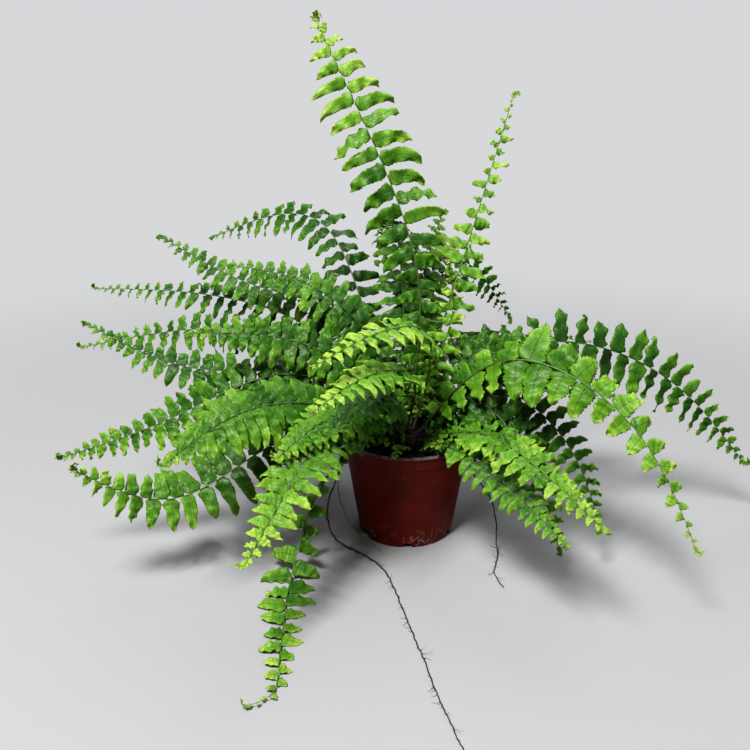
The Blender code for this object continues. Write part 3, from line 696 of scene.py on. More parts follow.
def plastic_material(settings, dust):
    """Moulded brown-red plastic, with dust, faint scuffs and the pale marks of fine roots near its foot, and
    with a painted blue-grey sheen on its lip that stands in for the pale sky's reflection.
    """
    material, tree, shader = new_material("scuffed_plastic")
    place = object_place(tree)
    height = add_node(tree, "ShaderNodeSeparateXYZ", {"Vector": place}).outputs["Z"]
    cloud = cloudy(tree, place, 60.0, 4.0)
    base = mixed(tree, spread(tree, cloud, 0.3, 0.7), toned(settings.plastic, 0.66), settings.plastic)
    specks = place_group(tree, dust, {"Place": place, "Scale": 420.0, "Amount": 0.07}).outputs["Mask"]
    fine = place_group(tree, dust, {"Place": place, "Scale": 1300.0, "Amount": 0.06}).outputs["Mask"]
    near_foot = spread(tree, height, 0.004, 0.016, 1.0, 0.0)
    curl = maths(tree, "ABSOLUTE", maths(tree, "SUBTRACT", cloudy(tree, place, 150.0, 2.0), 0.5))
    mark = times(tree, spread(tree, curl, 0.006, 0.022, 1.0, 0.0), near_foot)
    thin = spread(tree, cloudy(tree, place, 90.0, 1.0), 0.42, 0.54)
    mark = times(tree, mark, times(tree, thin, 0.75))
    pale = maths(tree, "MAXIMUM", times(tree, maths(tree, "MAXIMUM", specks, fine), 0.30), mark)
    # Painted reflection: the lip's top is tinted blue-grey as if it mirrored the pale sky, broken up by noise
    lip = times(tree, spread(tree, height, POT_HEIGHT - 0.8 * MM, POT_HEIGHT - 0.1 * MM), 0.75)
    painted_sheen = times(tree, lip, spread(tree, cloudy(tree, place, 330.0), 0.30, 0.55))
    colour = mixed(tree, pale, mixed(tree, painted_sheen, base, PAINTED_LIP_SHEEN), ROOT_MARK)
    scuff = cloudy(tree, place, 420.0, 5.0, 0.7)
    rough = maths(tree, "MULTIPLY_ADD", pale, 0.4, spread(tree, scuff, 0.3, 0.7, 0.28, 0.44))
    values = {"Base Color": colour, "Roughness": rough, "Specular IOR Level": 0.22}
    dress(tree, shader, scuff, 0.05 * MM, 0.35, values)
    return material


def peat_material(settings, dust):
    """Damp dark potting mix with paler crumbs and a few white grains."""
    material, tree, shader = new_material("damp_peat")
    place = object_place(tree)
    chance = times(tree, attribute(tree, "chance"), 0.5)
    crumb = maths(tree, "MULTIPLY_ADD", cloudy(tree, place, 700.0, 5.0, 0.7), 0.7, chance)
    base = mixed(tree, spread(tree, crumb, 0.38, 0.95), settings.peat, toned(settings.peat, 4.2, 0.006))
    grains = place_group(tree, dust, {"Place": place, "Scale": 420.0, "Amount": 0.03}).outputs["Mask"]
    grains = times(tree, grains, 0.6)
    values = {"Base Color": mixed(tree, grains, base, WHITE_GRAIN), "Roughness": 0.88}
    dress(tree, shader, crumb, 0.5 * MM, 0.8, values)
    return material


def floor_material(colour):
    """Pale matt paint that takes the object's soft shadow and turns into an even studio glow further out.

    It throws less light back up than it shows, as if the object stood high above it.
    """
    material, tree, shader = new_material("floor_paint")
    place = object_place(tree)
    for socket, value in {"Base Color": colour, "Roughness": 0.9, "Specular IOR Level": 0.2}.items():
        feed(tree, value, shader.inputs[socket])
    distance = add_node(tree, "ShaderNodeVectorMath", {0: place}, operation="LENGTH").outputs["Value"]
    glow = add_node(tree, "ShaderNodeEmission", {"Color": BACKDROP_GLOW, "Strength": 1.0})
    far = spread(tree, distance, *BACKDROP_REACH)
    dim = add_node(tree, "ShaderNodeBsdfDiffuse", {"Color": toned(colour, BOUNCE)})
    seen = add_node(tree, "ShaderNodeLightPath").outputs["Is Camera Ray"]
    show(tree, blended(tree, seen, dim, blended(tree, far, shader, glow)))
    return material


def finish_named(name, make):
    """The material of that name, made once."""
    return bpy.data.materials.get(name) or make()


def group_named(name, make):
    """The node group of that name, made once."""
    return bpy.data.node_groups.get(name) or make()


def leaf_finish(scene, name):
    group = group_named("leaf_green", lambda: leaf_group(scene.fern_leaf))
    return finish_named(name, lambda: leaf_material(name, group))


def stalk_finish():
    return finish_named("frond_stalk", lambda: stalk_material(group_named("fibre", fibre_group)))


def scale_finish(scene):
    colour = scene.fern_ground.scale_brown
    group = group_named("fibre", fibre_group)
    return finish_named("dry_scale", lambda: fibre_material("dry_scale", colour, group, 0.62, 1100.0))


# Meshes


def place_object(name, data):
    """A new object in the scene, made of a mesh, a light or a camera."""
    placed = bpy.data.objects.new(name, data)
    bpy.context.scene.collection.objects.link(placed)
    return placed


class Skin:
    """Points, faces and marks gathered from several shapes for one mesh."""

    def __init__(self):
        self.points = []
        self.faces = []
        self.slots = []
        self.marks = {"along": [], "across": [], "tone": [], "chance": []}
        self.count = 0

    def add(self, points, faces, slot=0, **marks):
        """Adds an array of points and faces that count from 0. A mark is one number or one for each point."""
        points = np.asarray(points, float).reshape(-1, 3)
        self.points.append(points)
        self.faces += [tuple(int(corner) + self.count for corner in face) for face in faces]
        self.slots += [slot] * len(faces)
        for name, values in self.marks.items():
            values.append(np.broadcast_to(np.asarray(marks.get(name, 0.0), float), len(points)))
        self.count += len(points)

    def make(self, name, materials):
        mesh = bpy.data.meshes.new(name)
        mesh.from_pydata(np.concatenate(self.points).tolist(), [], self.faces)
        for material in materials:
            mesh.materials.append(material)
        mesh.polygons.foreach_set("material_index", self.slots)
        for mark, values in self.marks.items():
            layer = mesh.attributes.new(mark, "FLOAT", "POINT")
            layer.data.foreach_set("value", np.concatenate(values).astype(np.float32))
        mesh.shade_smooth()
        mesh.update()
        return place_object(name, mesh)


def settle(piece, nodes):
    """The piece hangs from the root body and stands in for its nodes, which are hidden."""
    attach(piece, "root")
    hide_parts(*nodes)


def unit(vectors):
    vectors = np.asarray(vectors, float)
    return vectors / np.maximum(np.linalg.norm(vectors, axis=-1, keepdims=True), 1e-12)


def smooth_step(values, low, high):
    """0 at low, 1 at high, and a smooth rise in between."""
    share = np.clip((np.asarray(values, float) - low) / (high - low), 0, 1)
    return share * share * (3 - 2 * share)


def at_bearing(degrees, radius, height):
    """A point at a bearing, a distance from the pot's axis and a height."""
    angle = math.radians(degrees)
    return Vector((radius * math.cos(angle), radius * math.sin(angle), height))


def turned(profile, segments):
    """Points and faces of a closed profile of (radius, height) turned about Z, with its ends on the axis."""
    rings = profile[1:-1]
    angles = np.arange(segments) * 2 * math.pi / segments
    points = [(0, 0, profile[0][1])]
    for radius, height in rings:
        points += [(radius * math.cos(a), radius * math.sin(a), height) for a in angles]
    points.append((0, 0, profile[-1][1]))
    faces = []
    for k in range(segments):
        after = (k + 1) % segments
        faces.append((0, 1 + after, 1 + k))
        for ring in range(len(rings) - 1):
            low = 1 + ring * segments
            high = low + segments
            faces.append((low + k, low + after, high + after, high + k))
        last = 1 + (len(rings) - 1) * segments
        faces.append((last + k, last + after, len(points) - 1))
    return points, faces


def rounded(corners, radius, steps):
    """A profile whose inner corners are rounded, as far as their shorter side allows."""
    profile = [corners[0]]
    for before, corner, after in zip(corners, corners[1:-1], corners[2:]):
        here = Vector(corner)
        back = Vector(before) - here
        ahead = Vector(after) - here
        reach = min(radius, 0.45 * back.length, 0.45 * ahead.length)
        first = here + back.normalized() * reach
        last = here + ahead.normalized() * reach
        for k in range(steps + 1):
            share = k / steps
            profile.append(tuple(first.lerp(here, share).lerp(here.lerp(last, share), share)))
    return profile + [corners[-1]]


def ring_faces(low, high, count):
    """Faces between two rings of points that start at low and at high."""
    return [(low + k, low + (k + 1) % count, high + (k + 1) % count, high + k) for k in range(count)]


def tube(line, radii, sides, across=None, flat=1.0):
    """Points and faces of a closed tube along a line.

    flat squeezes its section, and across is the way in which it stays wide.
    """
    line = np.asarray([tuple(point) for point in line], float)
    tangents = unit(np.gradient(line, axis=0))
    if across is None:
        across = Vector(tangents[0]).orthogonal()
    angles = np.arange(sides) * 2 * math.pi / sides
    rows = []
    wide = np.asarray(across, float)
    for k, tangent in enumerate(tangents):
        if wide.ndim == 2:
            side = unit(wide[k] - tangent * wide[k].dot(tangent))
        else:
            wide = unit(wide - tangent * wide.dot(tangent))
            side = wide
        other = np.cross(tangent, side)
        ring = np.outer(np.cos(angles), side) + np.outer(np.sin(angles), other) * flat
        rows.append(line[k] + ring * radii[k])
    points = np.concatenate(rows + [line[:1], line[-1:]])
    faces = []
    for k in range(len(line) - 1):
        faces += ring_faces(k * sides, (k + 1) * sides, sides)
    top = (len(line) - 1) * sides
    for side in range(sides):
        after = (side + 1) % sides
        faces.append((after, side, len(points) - 2))
        faces.append((top + side, top + after, len(points) - 1))
    return points, faces


def tube_marks(count, sides):
    """How far along a tube each of its points is, from 0 to 1, its two end points included."""
    return np.concatenate((np.repeat(np.linspace(0, 1, count), sides), (0.0, 1.0)))


# The pot


def wall_radius(height):
    """The pot's outer radius under its band, which tapers from the base."""
    return BASE_RADIUS + (RIM_RADIUS - BAND_STEP - BASE_RADIUS) * height / POT_HEIGHT


def pot_profile():
    """The pot's section, from the middle of its underside round to the middle of its inside floor."""
    band_foot = POT_HEIGHT - BAND_HEIGHT
    lip_foot = POT_HEIGHT - LIP_THICKNESS
    return (
        (0, HEEL_HOLLOW),
        (BASE_RADIUS - HEEL_WIDTH - HEEL_SLOPE, HEEL_HOLLOW),
        (BASE_RADIUS - HEEL_WIDTH, 0),
        (BASE_RADIUS, 0),
        (wall_radius(band_foot - BAND_STEP), band_foot - BAND_STEP),
        (wall_radius(band_foot) + BAND_STEP, band_foot),
        (RIM_RADIUS - BAND_STEP, lip_foot - BAND_STEP),
        (RIM_RADIUS, lip_foot),
        (RIM_RADIUS, POT_HEIGHT),
        (RIM_RADIUS - LIP_WIDTH, POT_HEIGHT),
        (RIM_RADIUS - LIP_WIDTH, lip_foot),
        (wall_radius(lip_foot - LIP_THICKNESS) - WALL, lip_foot - LIP_THICKNESS),
        (wall_radius(FLOOR_THICKNESS) - WALL, INSIDE_FLOOR),
        (0, INSIDE_FLOOR),
    )


def drain_cutter():
    """Short rods that point outwards through the heel of the pot, one for each drainage arch."""
    shape = bmesh.new()
    for k in range(DRAIN_COUNT):
        outwards = Matrix.Rotation(2 * math.pi * (k + 0.5) / DRAIN_COUNT, 4, "Z")
        place = Matrix.Translation((BASE_RADIUS, 0, 0)) @ Matrix.Rotation(math.pi / 2, 4, "Y")
        bmesh.ops.create_cone(
            shape, cap_ends=True, segments=DRAIN_SIDES, radius1=DRAIN_RADIUS, radius2=DRAIN_RADIUS,
            depth=DRAIN_DEPTH, matrix=outwards @ place,
        )
    bmesh.ops.recalc_face_normals(shape, faces=shape.faces)
    mesh = bpy.data.meshes.new("drain_cutter")
    shape.to_mesh(mesh)
    shape.free()
    return place_object("drain_cutter", mesh)


def cut_with(piece, cutter):
    """Cuts the cutter out of the piece, and removes the cutter."""
    cut = piece.modifiers.new("cut", "BOOLEAN")
    cut.object = cutter
    cut.operation = "DIFFERENCE"
    shown = piece.evaluated_get(bpy.context.evaluated_depsgraph_get())
    mesh = bpy.data.meshes.new_from_object(shown)
    piece.modifiers.clear()
    piece.data = mesh
    bpy.data.objects.remove(cutter, do_unlink=True)
    mesh.shade_smooth()
    mesh.set_sharp_from_angle(angle=math.radians(SHARP_ANGLE))


class FERN_OT_pot(bpy.types.Operator):
    """Turns the nursery pot and cuts its drainage arches"""

    bl_idname = "fern.pot"
    bl_label = "Nursery pot"

    def execute(self, context):
        settings = context.scene.fern_pot
        dust = group_named("dust", dust_group)
        plastic = finish_named("scuffed_plastic", lambda: plastic_material(settings, dust))
        points, faces = turned(rounded(pot_profile(), settings.rounding, CORNER_STEPS), settings.segments)
        skin = Skin()
        skin.add(points, faces)
        pot = skin.make("moulded_pot", [plastic])
        cut_with(pot, drain_cutter())
        settle(pot, ["nursery_pot"])
        return {"FINISHED"}


# The potting mix and the crown


def mix_level(x, y):
    """Height of the potting mix's lumpy top."""
    lump = noise.noise(Vector((x, y, 0)) * 160) + 0.5 * noise.noise(Vector((x, y, 1)) * 420)
    return MIX_LEVEL - MIX_LUMP / 2 + MIX_LUMP * 0.6 * lump


def crown_floor():
    """Height of the crown's flat foot, just over the potting mix's lowest level."""
    return MIX_LEVEL - MIX_LUMP + FIT_GAP


def crown_height(radius):
    """Height of the crown's surface at a distance from its axis."""
    return crown_floor() + CROWN_HEIGHT * math.sqrt(max(0.0, 1 - (radius / CROWN_RADIUS) ** 2))


def crumb_shape(rng, size):
    """One angular crumb, about as wide as its size."""
    shape = bmesh.new()
    bmesh.ops.create_icosphere(shape, subdivisions=1, radius=size / 2)
    stretch = rng.uniform(0.55, 1.35, 3)
    points = [np.array(v.co) * stretch * rng.uniform(0.72, 1.15) for v in shape.verts]
    faces = [[v.index for v in face.verts] for face in shape.faces]
    shape.free()
    turn = np.array(Matrix.Rotation(rng.uniform(0, 6.28), 3, Vector(rng.normal(size=3)).normalized()))
    return np.array(points) @ turn.T, faces


def fibre_line(rng, edge):
    """A bent fibre that lies on the potting mix. edge is the mix's radius."""
    radius = (edge - 5 * MM) * math.sqrt(rng.uniform(0.2, 1))
    angle = rng.uniform(0, 2 * math.pi)
    heading = rng.uniform(0, 2 * math.pi)
    bend = rng.uniform(-0.5, 0.5)
    step = rng.uniform(3, 8) * MM / FIBRE_STEPS
    x, y = radius * math.cos(angle), radius * math.sin(angle)
    line = []
    for k in range(FIBRE_STEPS):
        turn = heading + bend * k / 3
        x, y = x + math.cos(turn) * step, y + math.sin(turn) * step
        line.append((x, y, mix_level(x, y) + FIBRE_LIFT))
    return line


class FERN_OT_potting_mix(bpy.types.Operator):
    """Fills the pot with lumpy potting mix, with loose crumbs and fibres on top"""

    bl_idname = "fern.potting_mix"
    bl_label = "Potting mix"

    def execute(self, context):
        settings = context.scene.fern_ground
        dust = group_named("dust", dust_group)
        peat = finish_named("damp_peat", lambda: peat_material(settings, dust))
        rng = np.random.default_rng(MIX_SEED)
        foot = INSIDE_FLOOR + FIT_GAP
        level = MIX_LEVEL - MIX_LUMP
        edge = wall_radius(level) - WALL - FIT_GAP
        foot_edge = wall_radius(foot) - WALL - FIT_GAP
        rings = [edge * (1 - k / MIX_RINGS) for k in range(MIX_RINGS)]
        profile = [(0, foot), (foot_edge, foot)] + [(radius, level) for radius in rings] + [(0, level)]
        points, faces = turned(profile, MIX_SIDES)
        points = [(x, y, z if z < level - FIT_GAP else mix_level(x, y)) for x, y, z in points]
        skin = Skin()
        skin.add(points, faces, chance=0.3)
        for _ in range(settings.crumbs):
            radius = (edge - CRUMB_FROM_EDGE) * math.sqrt(rng.uniform(0.12, 1))
            angle = rng.uniform(0, 2 * math.pi)
            size = rng.uniform(0.5, 1.0) ** 2 * CRUMB_SIZE
            x, y = radius * math.cos(angle), radius * math.sin(angle)
            crumb, crumb_faces = crumb_shape(rng, size)
            spot = np.array((x, y, mix_level(x, y) + 0.25 * size))
            skin.add(crumb + spot, crumb_faces, chance=rng.uniform(0, 1))
        for _ in range(settings.crumbs // CRUMBS_PER_FIBRE):
            line = fibre_line(rng, edge)
            if max(math.hypot(x, y) for x, y, _ in line) > edge - 1 * MM:
                continue
            fibre = tube(line, [FIBRE_RADIUS] * FIBRE_STEPS, FIBRE_SIDES)
            skin.add(*fibre, chance=rng.uniform(0.4, 1))
        mix = skin.make("crumbly_mix", [peat])
        settle(mix, ["potting_mix"])
        return {"FINISHED"}


def scale_blade(rng, foot, heading, length, width):
    """A narrow dry scale that stands on the crown and bends outwards at its tip."""
    heading = unit(heading)
    across = unit(np.cross(heading, rng.normal(size=3)))
    bend = unit(np.cross(heading, across)) * rng.uniform(-0.5, 0.5)
    rows = []
    for share in (0, 0.3, 0.65, 1.0):
        centre = foot + (heading * share + bend * share**2) * length
        half = width / 2 * (1 - share) ** 0.7 + SCALE_TIP
        lift = np.cross(across, heading) * SCALE_THICKNESS
        rows += [centre - across * half, centre + lift, centre + across * half, centre - lift]
    faces = ring_faces(0, 4, 4) + ring_faces(4, 8, 4) + ring_faces(8, 12, 4)
    return np.array(rows), faces + [(3, 2, 1, 0), (12, 13, 14, 15)]


class FERN_OT_crown(bpy.types.Operator):
    """Builds the crown that the fronds grow from, with its dry scales and old stubs"""

    bl_idname = "fern.crown"
    bl_label = "Crown"

    def execute(self, context):
        settings = context.scene.fern_ground
        rng = np.random.default_rng(CROWN_SEED)
        radii = [CROWN_RADIUS * math.sin(math.pi / 2 * (1 - k / CROWN_RINGS)) for k in range(CROWN_RINGS)]
        profile = [(0, crown_floor()), (radii[0] * 0.98, crown_floor())]
        profile += [(radius, crown_height(radius)) for radius in radii[1:]] + [(0, crown_height(0))]
        points, faces = turned(profile, CROWN_SIDES)
        lumpy = []
        for point in points:
            bump = noise.noise(Vector(point) * 260) * 0.9 * MM
            bump += noise.noise(Vector(point) * 700) * 0.35 * MM
            grow = 1 + bump / CROWN_RADIUS
            lumpy.append((point[0] * grow, point[1] * grow, max(point[2] + bump * 0.6, crown_floor())))
        skin = Skin()
        skin.add(lumpy, faces, chance=0.2)
        for _ in range(settings.scales):
            radius = CROWN_RADIUS * 0.97 * math.sqrt(rng.uniform(0, 1))
            bearing = rng.uniform(0, 360)
            foot = np.array(at_bearing(bearing, radius, crown_height(radius) - 0.6 * MM))
            heading = np.array(at_bearing(bearing + rng.uniform(-40, 40), rng.uniform(0.3, 1.0), 1.0))
            shape = scale_blade(rng, foot, heading, rng.uniform(2.5, 6) * MM, rng.uniform(0.5, 1.1) * MM)
            skin.add(*shape, chance=rng.uniform(0, 1), along=rng.uniform(0, 1))
        for k in range(STUB_COUNT):
            bearing = 360 * k / STUB_COUNT + rng.uniform(-12, 12)
            radius = CROWN_RADIUS * rng.uniform(0.35, 0.9)
            foot = np.array(at_bearing(bearing, radius, crown_height(radius) - 0.8 * MM))
            heading = unit(np.array(at_bearing(bearing, 0.5, 1.0)))
            line = [foot + heading * share * rng.uniform(3, 6) * MM for share in (0, 0.5, 0.9, 1.0)]
            line = sorted(line, key=lambda point: point[2])
            skin.add(*tube(line, STUB_RADII, STUB_SIDES), chance=rng.uniform(0, 0.6))
        crown = skin.make("scaly_crown", [scale_finish(context.scene)])
        settle(crown, ["crown"])
        return {"FINISHED"}


# Fronds


def seat_point(seat):
    """A point just off the crown, or just over the potting mix where the ring is wider than the crown."""
    bearing, ring = seat[0], seat[1] * MM
    stand_off = math.hypot(STALK_WIDTH, STALK_HEIGHT) / 2 + FIT_GAP
    if ring > CROWN_RADIUS * CROWN_RIM_SHARE:
        return at_bearing(bearing, ring, MIX_LEVEL + stand_off)
    slope = Vector((ring / CROWN_RADIUS**2, 0, (crown_height(ring) - crown_floor()) / CROWN_HEIGHT**2))
    slope.normalize()
    return at_bearing(bearing, ring + slope.x * stand_off, crown_height(ring) + slope.z * stand_off)


def smooth_curve(points, count):
    """Evenly spaced points on the natural cubic spline through the given points."""
    knots = np.array([tuple(point) for point in points], float)
    chord = np.linalg.norm(np.diff(knots, axis=0), axis=1)
    t = np.concatenate(([0.0], np.cumsum(chord)))
    size = len(knots)
    system = np.eye(size)
    right = np.zeros((size, 3))
    for k in range(1, size - 1):
        system[k, k - 1 : k + 2] = chord[k - 1], 2 * (chord[k - 1] + chord[k]), chord[k]
        right[k] = 6 * ((knots[k + 1] - knots[k]) / chord[k] - (knots[k] - knots[k - 1]) / chord[k - 1])
    bend = np.linalg.solve(system, right)
    fine = np.linspace(0, t[-1], ROUTE_STEPS)
    span = np.clip(np.searchsorted(t, fine, side="right") - 1, 0, size - 2)
    width = chord[span][:, None]
    after = (fine - t[span])[:, None]
    before = width - after
    curve = (bend[span] * before**3 + bend[span + 1] * after**3) / (6 * width)
    curve += (knots[span] / width - bend[span] * width / 6) * before
    curve += (knots[span + 1] / width - bend[span + 1] * width / 6) * after
    run = np.concatenate(([0.0], np.cumsum(np.linalg.norm(np.diff(curve, axis=0), axis=1))))
    wanted = np.linspace(0, run[-1], count)
    return np.stack([np.interp(wanted, run, curve[:, axis]) for axis in range(3)], axis=1)


def frond_route(frond):
    """The points that a frond's line goes through, from its seat."""
    start = seat_point(frond.seat)
    if frond.route is None:
        falling = [
            at_bearing(bearing, RIM_RADIUS + beyond * MM, share * POT_HEIGHT)
            for bearing, beyond, share in TRAILING_FALL
        ]
        lying = [Vector((x * MM, y * MM, TRAILING_HEIGHT)) for x, y in TRAILING_ON_SURFACE]
        return [start] + falling + lying
    return [start] + [Vector((x * MM, y * MM, POT_HEIGHT + z * MM)) for x, y, z in frond.route]


def leaflet_share(place, taper_from):
    """How long a leaflet is at a place from 0, the lowest pair, to 1, the tip of the frond."""
    taper = np.maximum(0.0, (place - taper_from) / (1 - taper_from)) ** TAPER_CURVE
    return np.minimum(1.0, LOWEST_SHARE + SHARE_GROWTH * place) * (1 - TAPER_LOSS * taper)


class FrondAxis:
    """A frond's line, with its curled tip, and the directions at any distance along it."""

    def __init__(self, frond, rng):
        main = smooth_curve(frond_route(frond), ROUTE_STEPS + 1)
        if frond.route is None:
            main[:, 2] = np.maximum(main[:, 2], TRAILING_HEIGHT)
        span = main[-1] - main[0]
        outward = unit((span[0], span[1], 0))
        facing = unit(np.array((0, -frond.turn, 1)) - INWARD_LEAN * outward)
        along = unit(np.gradient(main, axis=0))
        side = unit(np.cross(along, facing))
        self.length = np.linalg.norm(np.diff(main, axis=0), axis=1).sum()
        curl = self.curl(main[-1], along[-1], side[-1], frond, rng)
        self.line = np.concatenate((main, curl))
        self.along = unit(np.gradient(self.line, axis=0))
        sides = list(side)
        for k in range(len(main), len(self.line)):
            carried = sides[-1] - self.along[k] * sides[-1].dot(self.along[k])
            sides.append(unit(carried))
        self.side = np.array(sides)
        self.up = np.cross(self.side, self.along)
        steps = np.linalg.norm(np.diff(self.line, axis=0), axis=1)
        self.run = np.concatenate(([0.0], np.cumsum(steps))) / self.length

    def curl(self, tip, along, side, frond, rng):
        """A short spiral that winds on from the frond's tip."""
        tilt = rng.uniform(-1.2, 1.2)
        inwards = np.cross(side, along) * math.cos(tilt) + side * math.sin(tilt)
        size = (3.0 + 0.16 * frond.leaflet) * MM
        turn = rng.uniform(0.75, 1.25) * math.pi
        points = []
        here = tip
        for k in range(1, CURL_STEPS + 1):
            angle = turn * (k / CURL_STEPS) ** 1.5
            here = here + (along * math.cos(angle) + inwards * math.sin(angle)) * size / CURL_STEPS
            points.append((here[0], here[1], max(here[2], STALK_TIP)))
        return np.array(points)

    def at(self, places):
        """Points, along, side and up at shares of the frond's length. A share over 1 is in the curl."""
        rows = [
            np.stack([np.interp(places, self.run, values[:, axis]) for axis in range(3)], axis=-1)
            for values in (self.line, self.along, self.side, self.up)
        ]
        return rows[0], unit(rows[1]), unit(rows[2]), unit(rows[3])


def leaflet_rows(frond, habit, axis, rng):
    """A dict of arrays, one row for each leaflet of a frond."""
    pairs = round(frond.pairs * habit.pairs)
    index = (np.arange(pairs) + 0.5) / pairs
    share = 1 - (1 - index) ** CROWDING
    gap = CROWDING * (1 - index) ** (CROWDING - 1) / pairs * (1 - frond.bare) * axis.length
    low_pairs = round(frond.bare * LOW_REACH * axis.length / gap[0])
    low = frond.bare - (np.arange(low_pairs, 0, -1) - 0.5) * gap[0] / axis.length
    gap = np.concatenate((np.full(low_pairs, gap[0]), gap))
    stations = np.concatenate((low, frond.bare + (1 - frond.bare) * share))
    pairs += low_pairs
    places = [np.minimum(stations + SIDE_SHIFT * sign * gap / axis.length, 1.0) for sign in (1, -1)]
    curled = np.linspace(1.0, axis.run[-1] * 0.995, CURL_LEAFLETS)
    s = np.concatenate(places + [curled, curled])
    sign = np.repeat((1.0, -1.0, 1.0, -1.0), (pairs, pairs, CURL_LEAFLETS, CURL_LEAFLETS))
    place = np.clip((s - frond.bare) / (1 - frond.bare), 0, 1)
    gaps = np.concatenate((gap, gap, np.full(2 * CURL_LEAFLETS, CURL_GAP)))
    count = len(s)
    wild = rng.uniform(0, 1, count) < WILD_SHARE
    lively = bpy.context.scene.fern_leaf.liveliness

    def vary(middle, spread_by):
        return middle + rng.normal(0, 1, count) * spread_by * lively

    fading = 1 - habit.fade * smooth_step(place, 0.15, 0.65)
    reach = leaflet_share(place, habit.taper) * fading
    length = frond.leaflet * MM * reach * np.clip(vary(1.0, habit.uneven), 0.6, 1.4)
    length *= LOW_SIZE + (1 - LOW_SIZE) * smooth_step(s, frond.bare * (1 - LOW_REACH), frond.bare)
    length = np.maximum(length, SMALLEST_LEAFLET * rng.uniform(0.8, 1.3, count))
    width = habit.breadth * frond.leaflet * MM * reach**0.45 * vary(1.0, 0.07)
    width = np.minimum(width, np.maximum(habit.fullness * gaps, SMALLEST_WIDTH))
    late = smooth_step(place, 0.45, 0.88)
    width = np.minimum(width, (0.72 + 0.26 * late) * length)
    points, along, side, up = axis.at(s)
    last = smooth_step(s, 0.93, 1.0)
    tone = frond.low + (frond.high - frond.low) * smooth_step(place, 0.15, 1.0)
    tone += 0.16 * smooth_step(place, 0.80, 1.0)
    return {
        "root": points, "ahead": along, "out": side * sign[:, None], "up": up, "sign": sign,
        "length": length, "width": width,
        "point": np.clip(habit.point + (0.75 - habit.point) * late + vary(0, 0.05), 0, 1),
        "lean": vary(habit.lean + 0.25 * late + 0.7 * last, 0.07),
        "droop": np.maximum(vary(habit.droop, 0.20), 0),
        "hook": vary(habit.hook, 0.40) * np.where(wild, 2.2, 1.0),
        "sickle": vary(habit.sickle, 0.22),
        "tilt": vary(-habit.tilt, 0.16),
        "twist": vary(0.0, 0.30) * np.where(wild, 2.6, 1.0),
        "ruffle": np.clip(vary(habit.ruffle, 0.045), 0.02, 0.3),
        "waves": vary(habit.waves, 0.35),
        "puff": np.clip(vary(habit.puff, 0.012), 0, 0.1),
        "cup": vary(habit.cup, 0.05),
        **{name: np.full(count, float(getattr(habit, name))) for name in ("teeth", "depth", "lobe")},
        "phase": rng.uniform(0, 1, (count, 3)),
        "tone": np.clip(tone + rng.normal(0, 0.07, count) * lively, 0, 1),
        "chance": rng.uniform(0, 1, count),
    }


def leaflet_surface(rows, stations, columns):
    """Upper skin of each leaflet, its normals, and the places along and across it."""
    u = 1 - (1 - np.linspace(0, 1, stations)) ** 1.25
    v = np.linspace(-1, 1, columns)
    v = np.sign(v) * np.abs(v) ** 0.85

    def column(name):
        return rows[name][:, None]

    def long_way(vectors, amount):
        return vectors[:, None, :] * amount[:, :, None]

    bend = column("droop") * (0.46 + 0.69 * u) * u
    hook = column("hook") * smooth_step(u, 0.55, 1.0) ** 1.3
    heading = (
        np.repeat(rows["out"][:, None, :], stations, axis=1)
        + long_way(rows["ahead"], column("lean") + column("sickle") * u**1.5)
        - long_way(rows["up"], hook)
        + DOWN * bend[:, :, None]
    )
    heading = unit(heading)
    steps = (heading[:, 1:] + heading[:, :-1]) / 2 * np.diff(u)[None, :, None]
    spine = np.concatenate((np.zeros((len(steps), 1, 3)), np.cumsum(steps, axis=1)), axis=1)
    spine = rows["root"][:, None, :] + spine * rows["length"][:, None, None]
    up = rows["up"][:, None, :]
    normal = unit(up - heading * np.sum(heading * up, axis=2, keepdims=True))
    ahead = np.cross(normal, heading) * rows["sign"][:, None, None]
    turn = (column("tilt") * smooth_step(u, 0, 0.12) + column("twist") * u)[:, :, None]
    ahead, normal = ahead * np.cos(turn) + normal * np.sin(turn), normal * np.cos(turn) - ahead * np.sin(turn)

    strap = (1 - u**3.0) ** 0.62
    triangle = (1 - u) ** 0.85 * (1 + 0.45 * u)
    outline = strap + (triangle - strap) * column("point")
    outline = outline * (0.58 + 0.42 * smooth_step(u, 0, 0.09))
    sway = 0.035 * np.sin(2 * math.pi * (2.1 * u + rows["phase"][:, 2:3]))
    front = outline * (1 + column("lobe") * np.exp(-(((u - 0.13) / 0.07) ** 2)) + sway)
    back = outline * (1 - 0.12 * np.exp(-(((u - 0.06) / 0.06) ** 2)) + sway)
    tooth = np.abs(np.sin(math.pi * (column("teeth") * u + rows["phase"][:, 0:1]))) - 0.6
    notch = 1 + column("depth") * tooth
    half = rows["width"][:, None] / 2
    front = np.maximum(front * notch * half, MARGIN_HALF)[:, :, None]
    back = np.maximum(back * notch * half, MARGIN_HALF)[:, :, None]
    across = v * np.where(v > 0, front, back)

    off = np.abs(v)
    margin = np.where(v > 0, 0.37, 0.0)
    phase = rows["phase"][:, None, None, :]
    run = u[None, :, None]
    wave = np.sin(2 * math.pi * (column("waves")[:, :, None] * run + phase[..., 1] + margin))
    swell = np.sin(2 * math.pi * (3.6 * run + phase[..., 2] + 0.2 * v))
    ramp = smooth_step(u, 0.03, 0.25)[None, :, None]
    rise = column("ruffle")[:, :, None] * wave * off**1.5 * ramp
    rise = rise + column("puff")[:, :, None] * swell * (1 - 0.4 * off)
    rise = rise - column("cup")[:, :, None] * off**2 - 0.022 * np.exp(-((v / 0.16) ** 2))
    rise = rise * rows["width"][:, None, None] * (0.35 + 0.65 * (half / half.max())[:, :, None])
    skin = spine[:, :, None, :] + ahead[:, :, None, :] * across[..., None]
    skin = skin + normal[:, :, None, :] * rise[..., None]
    return skin, normal, u, v


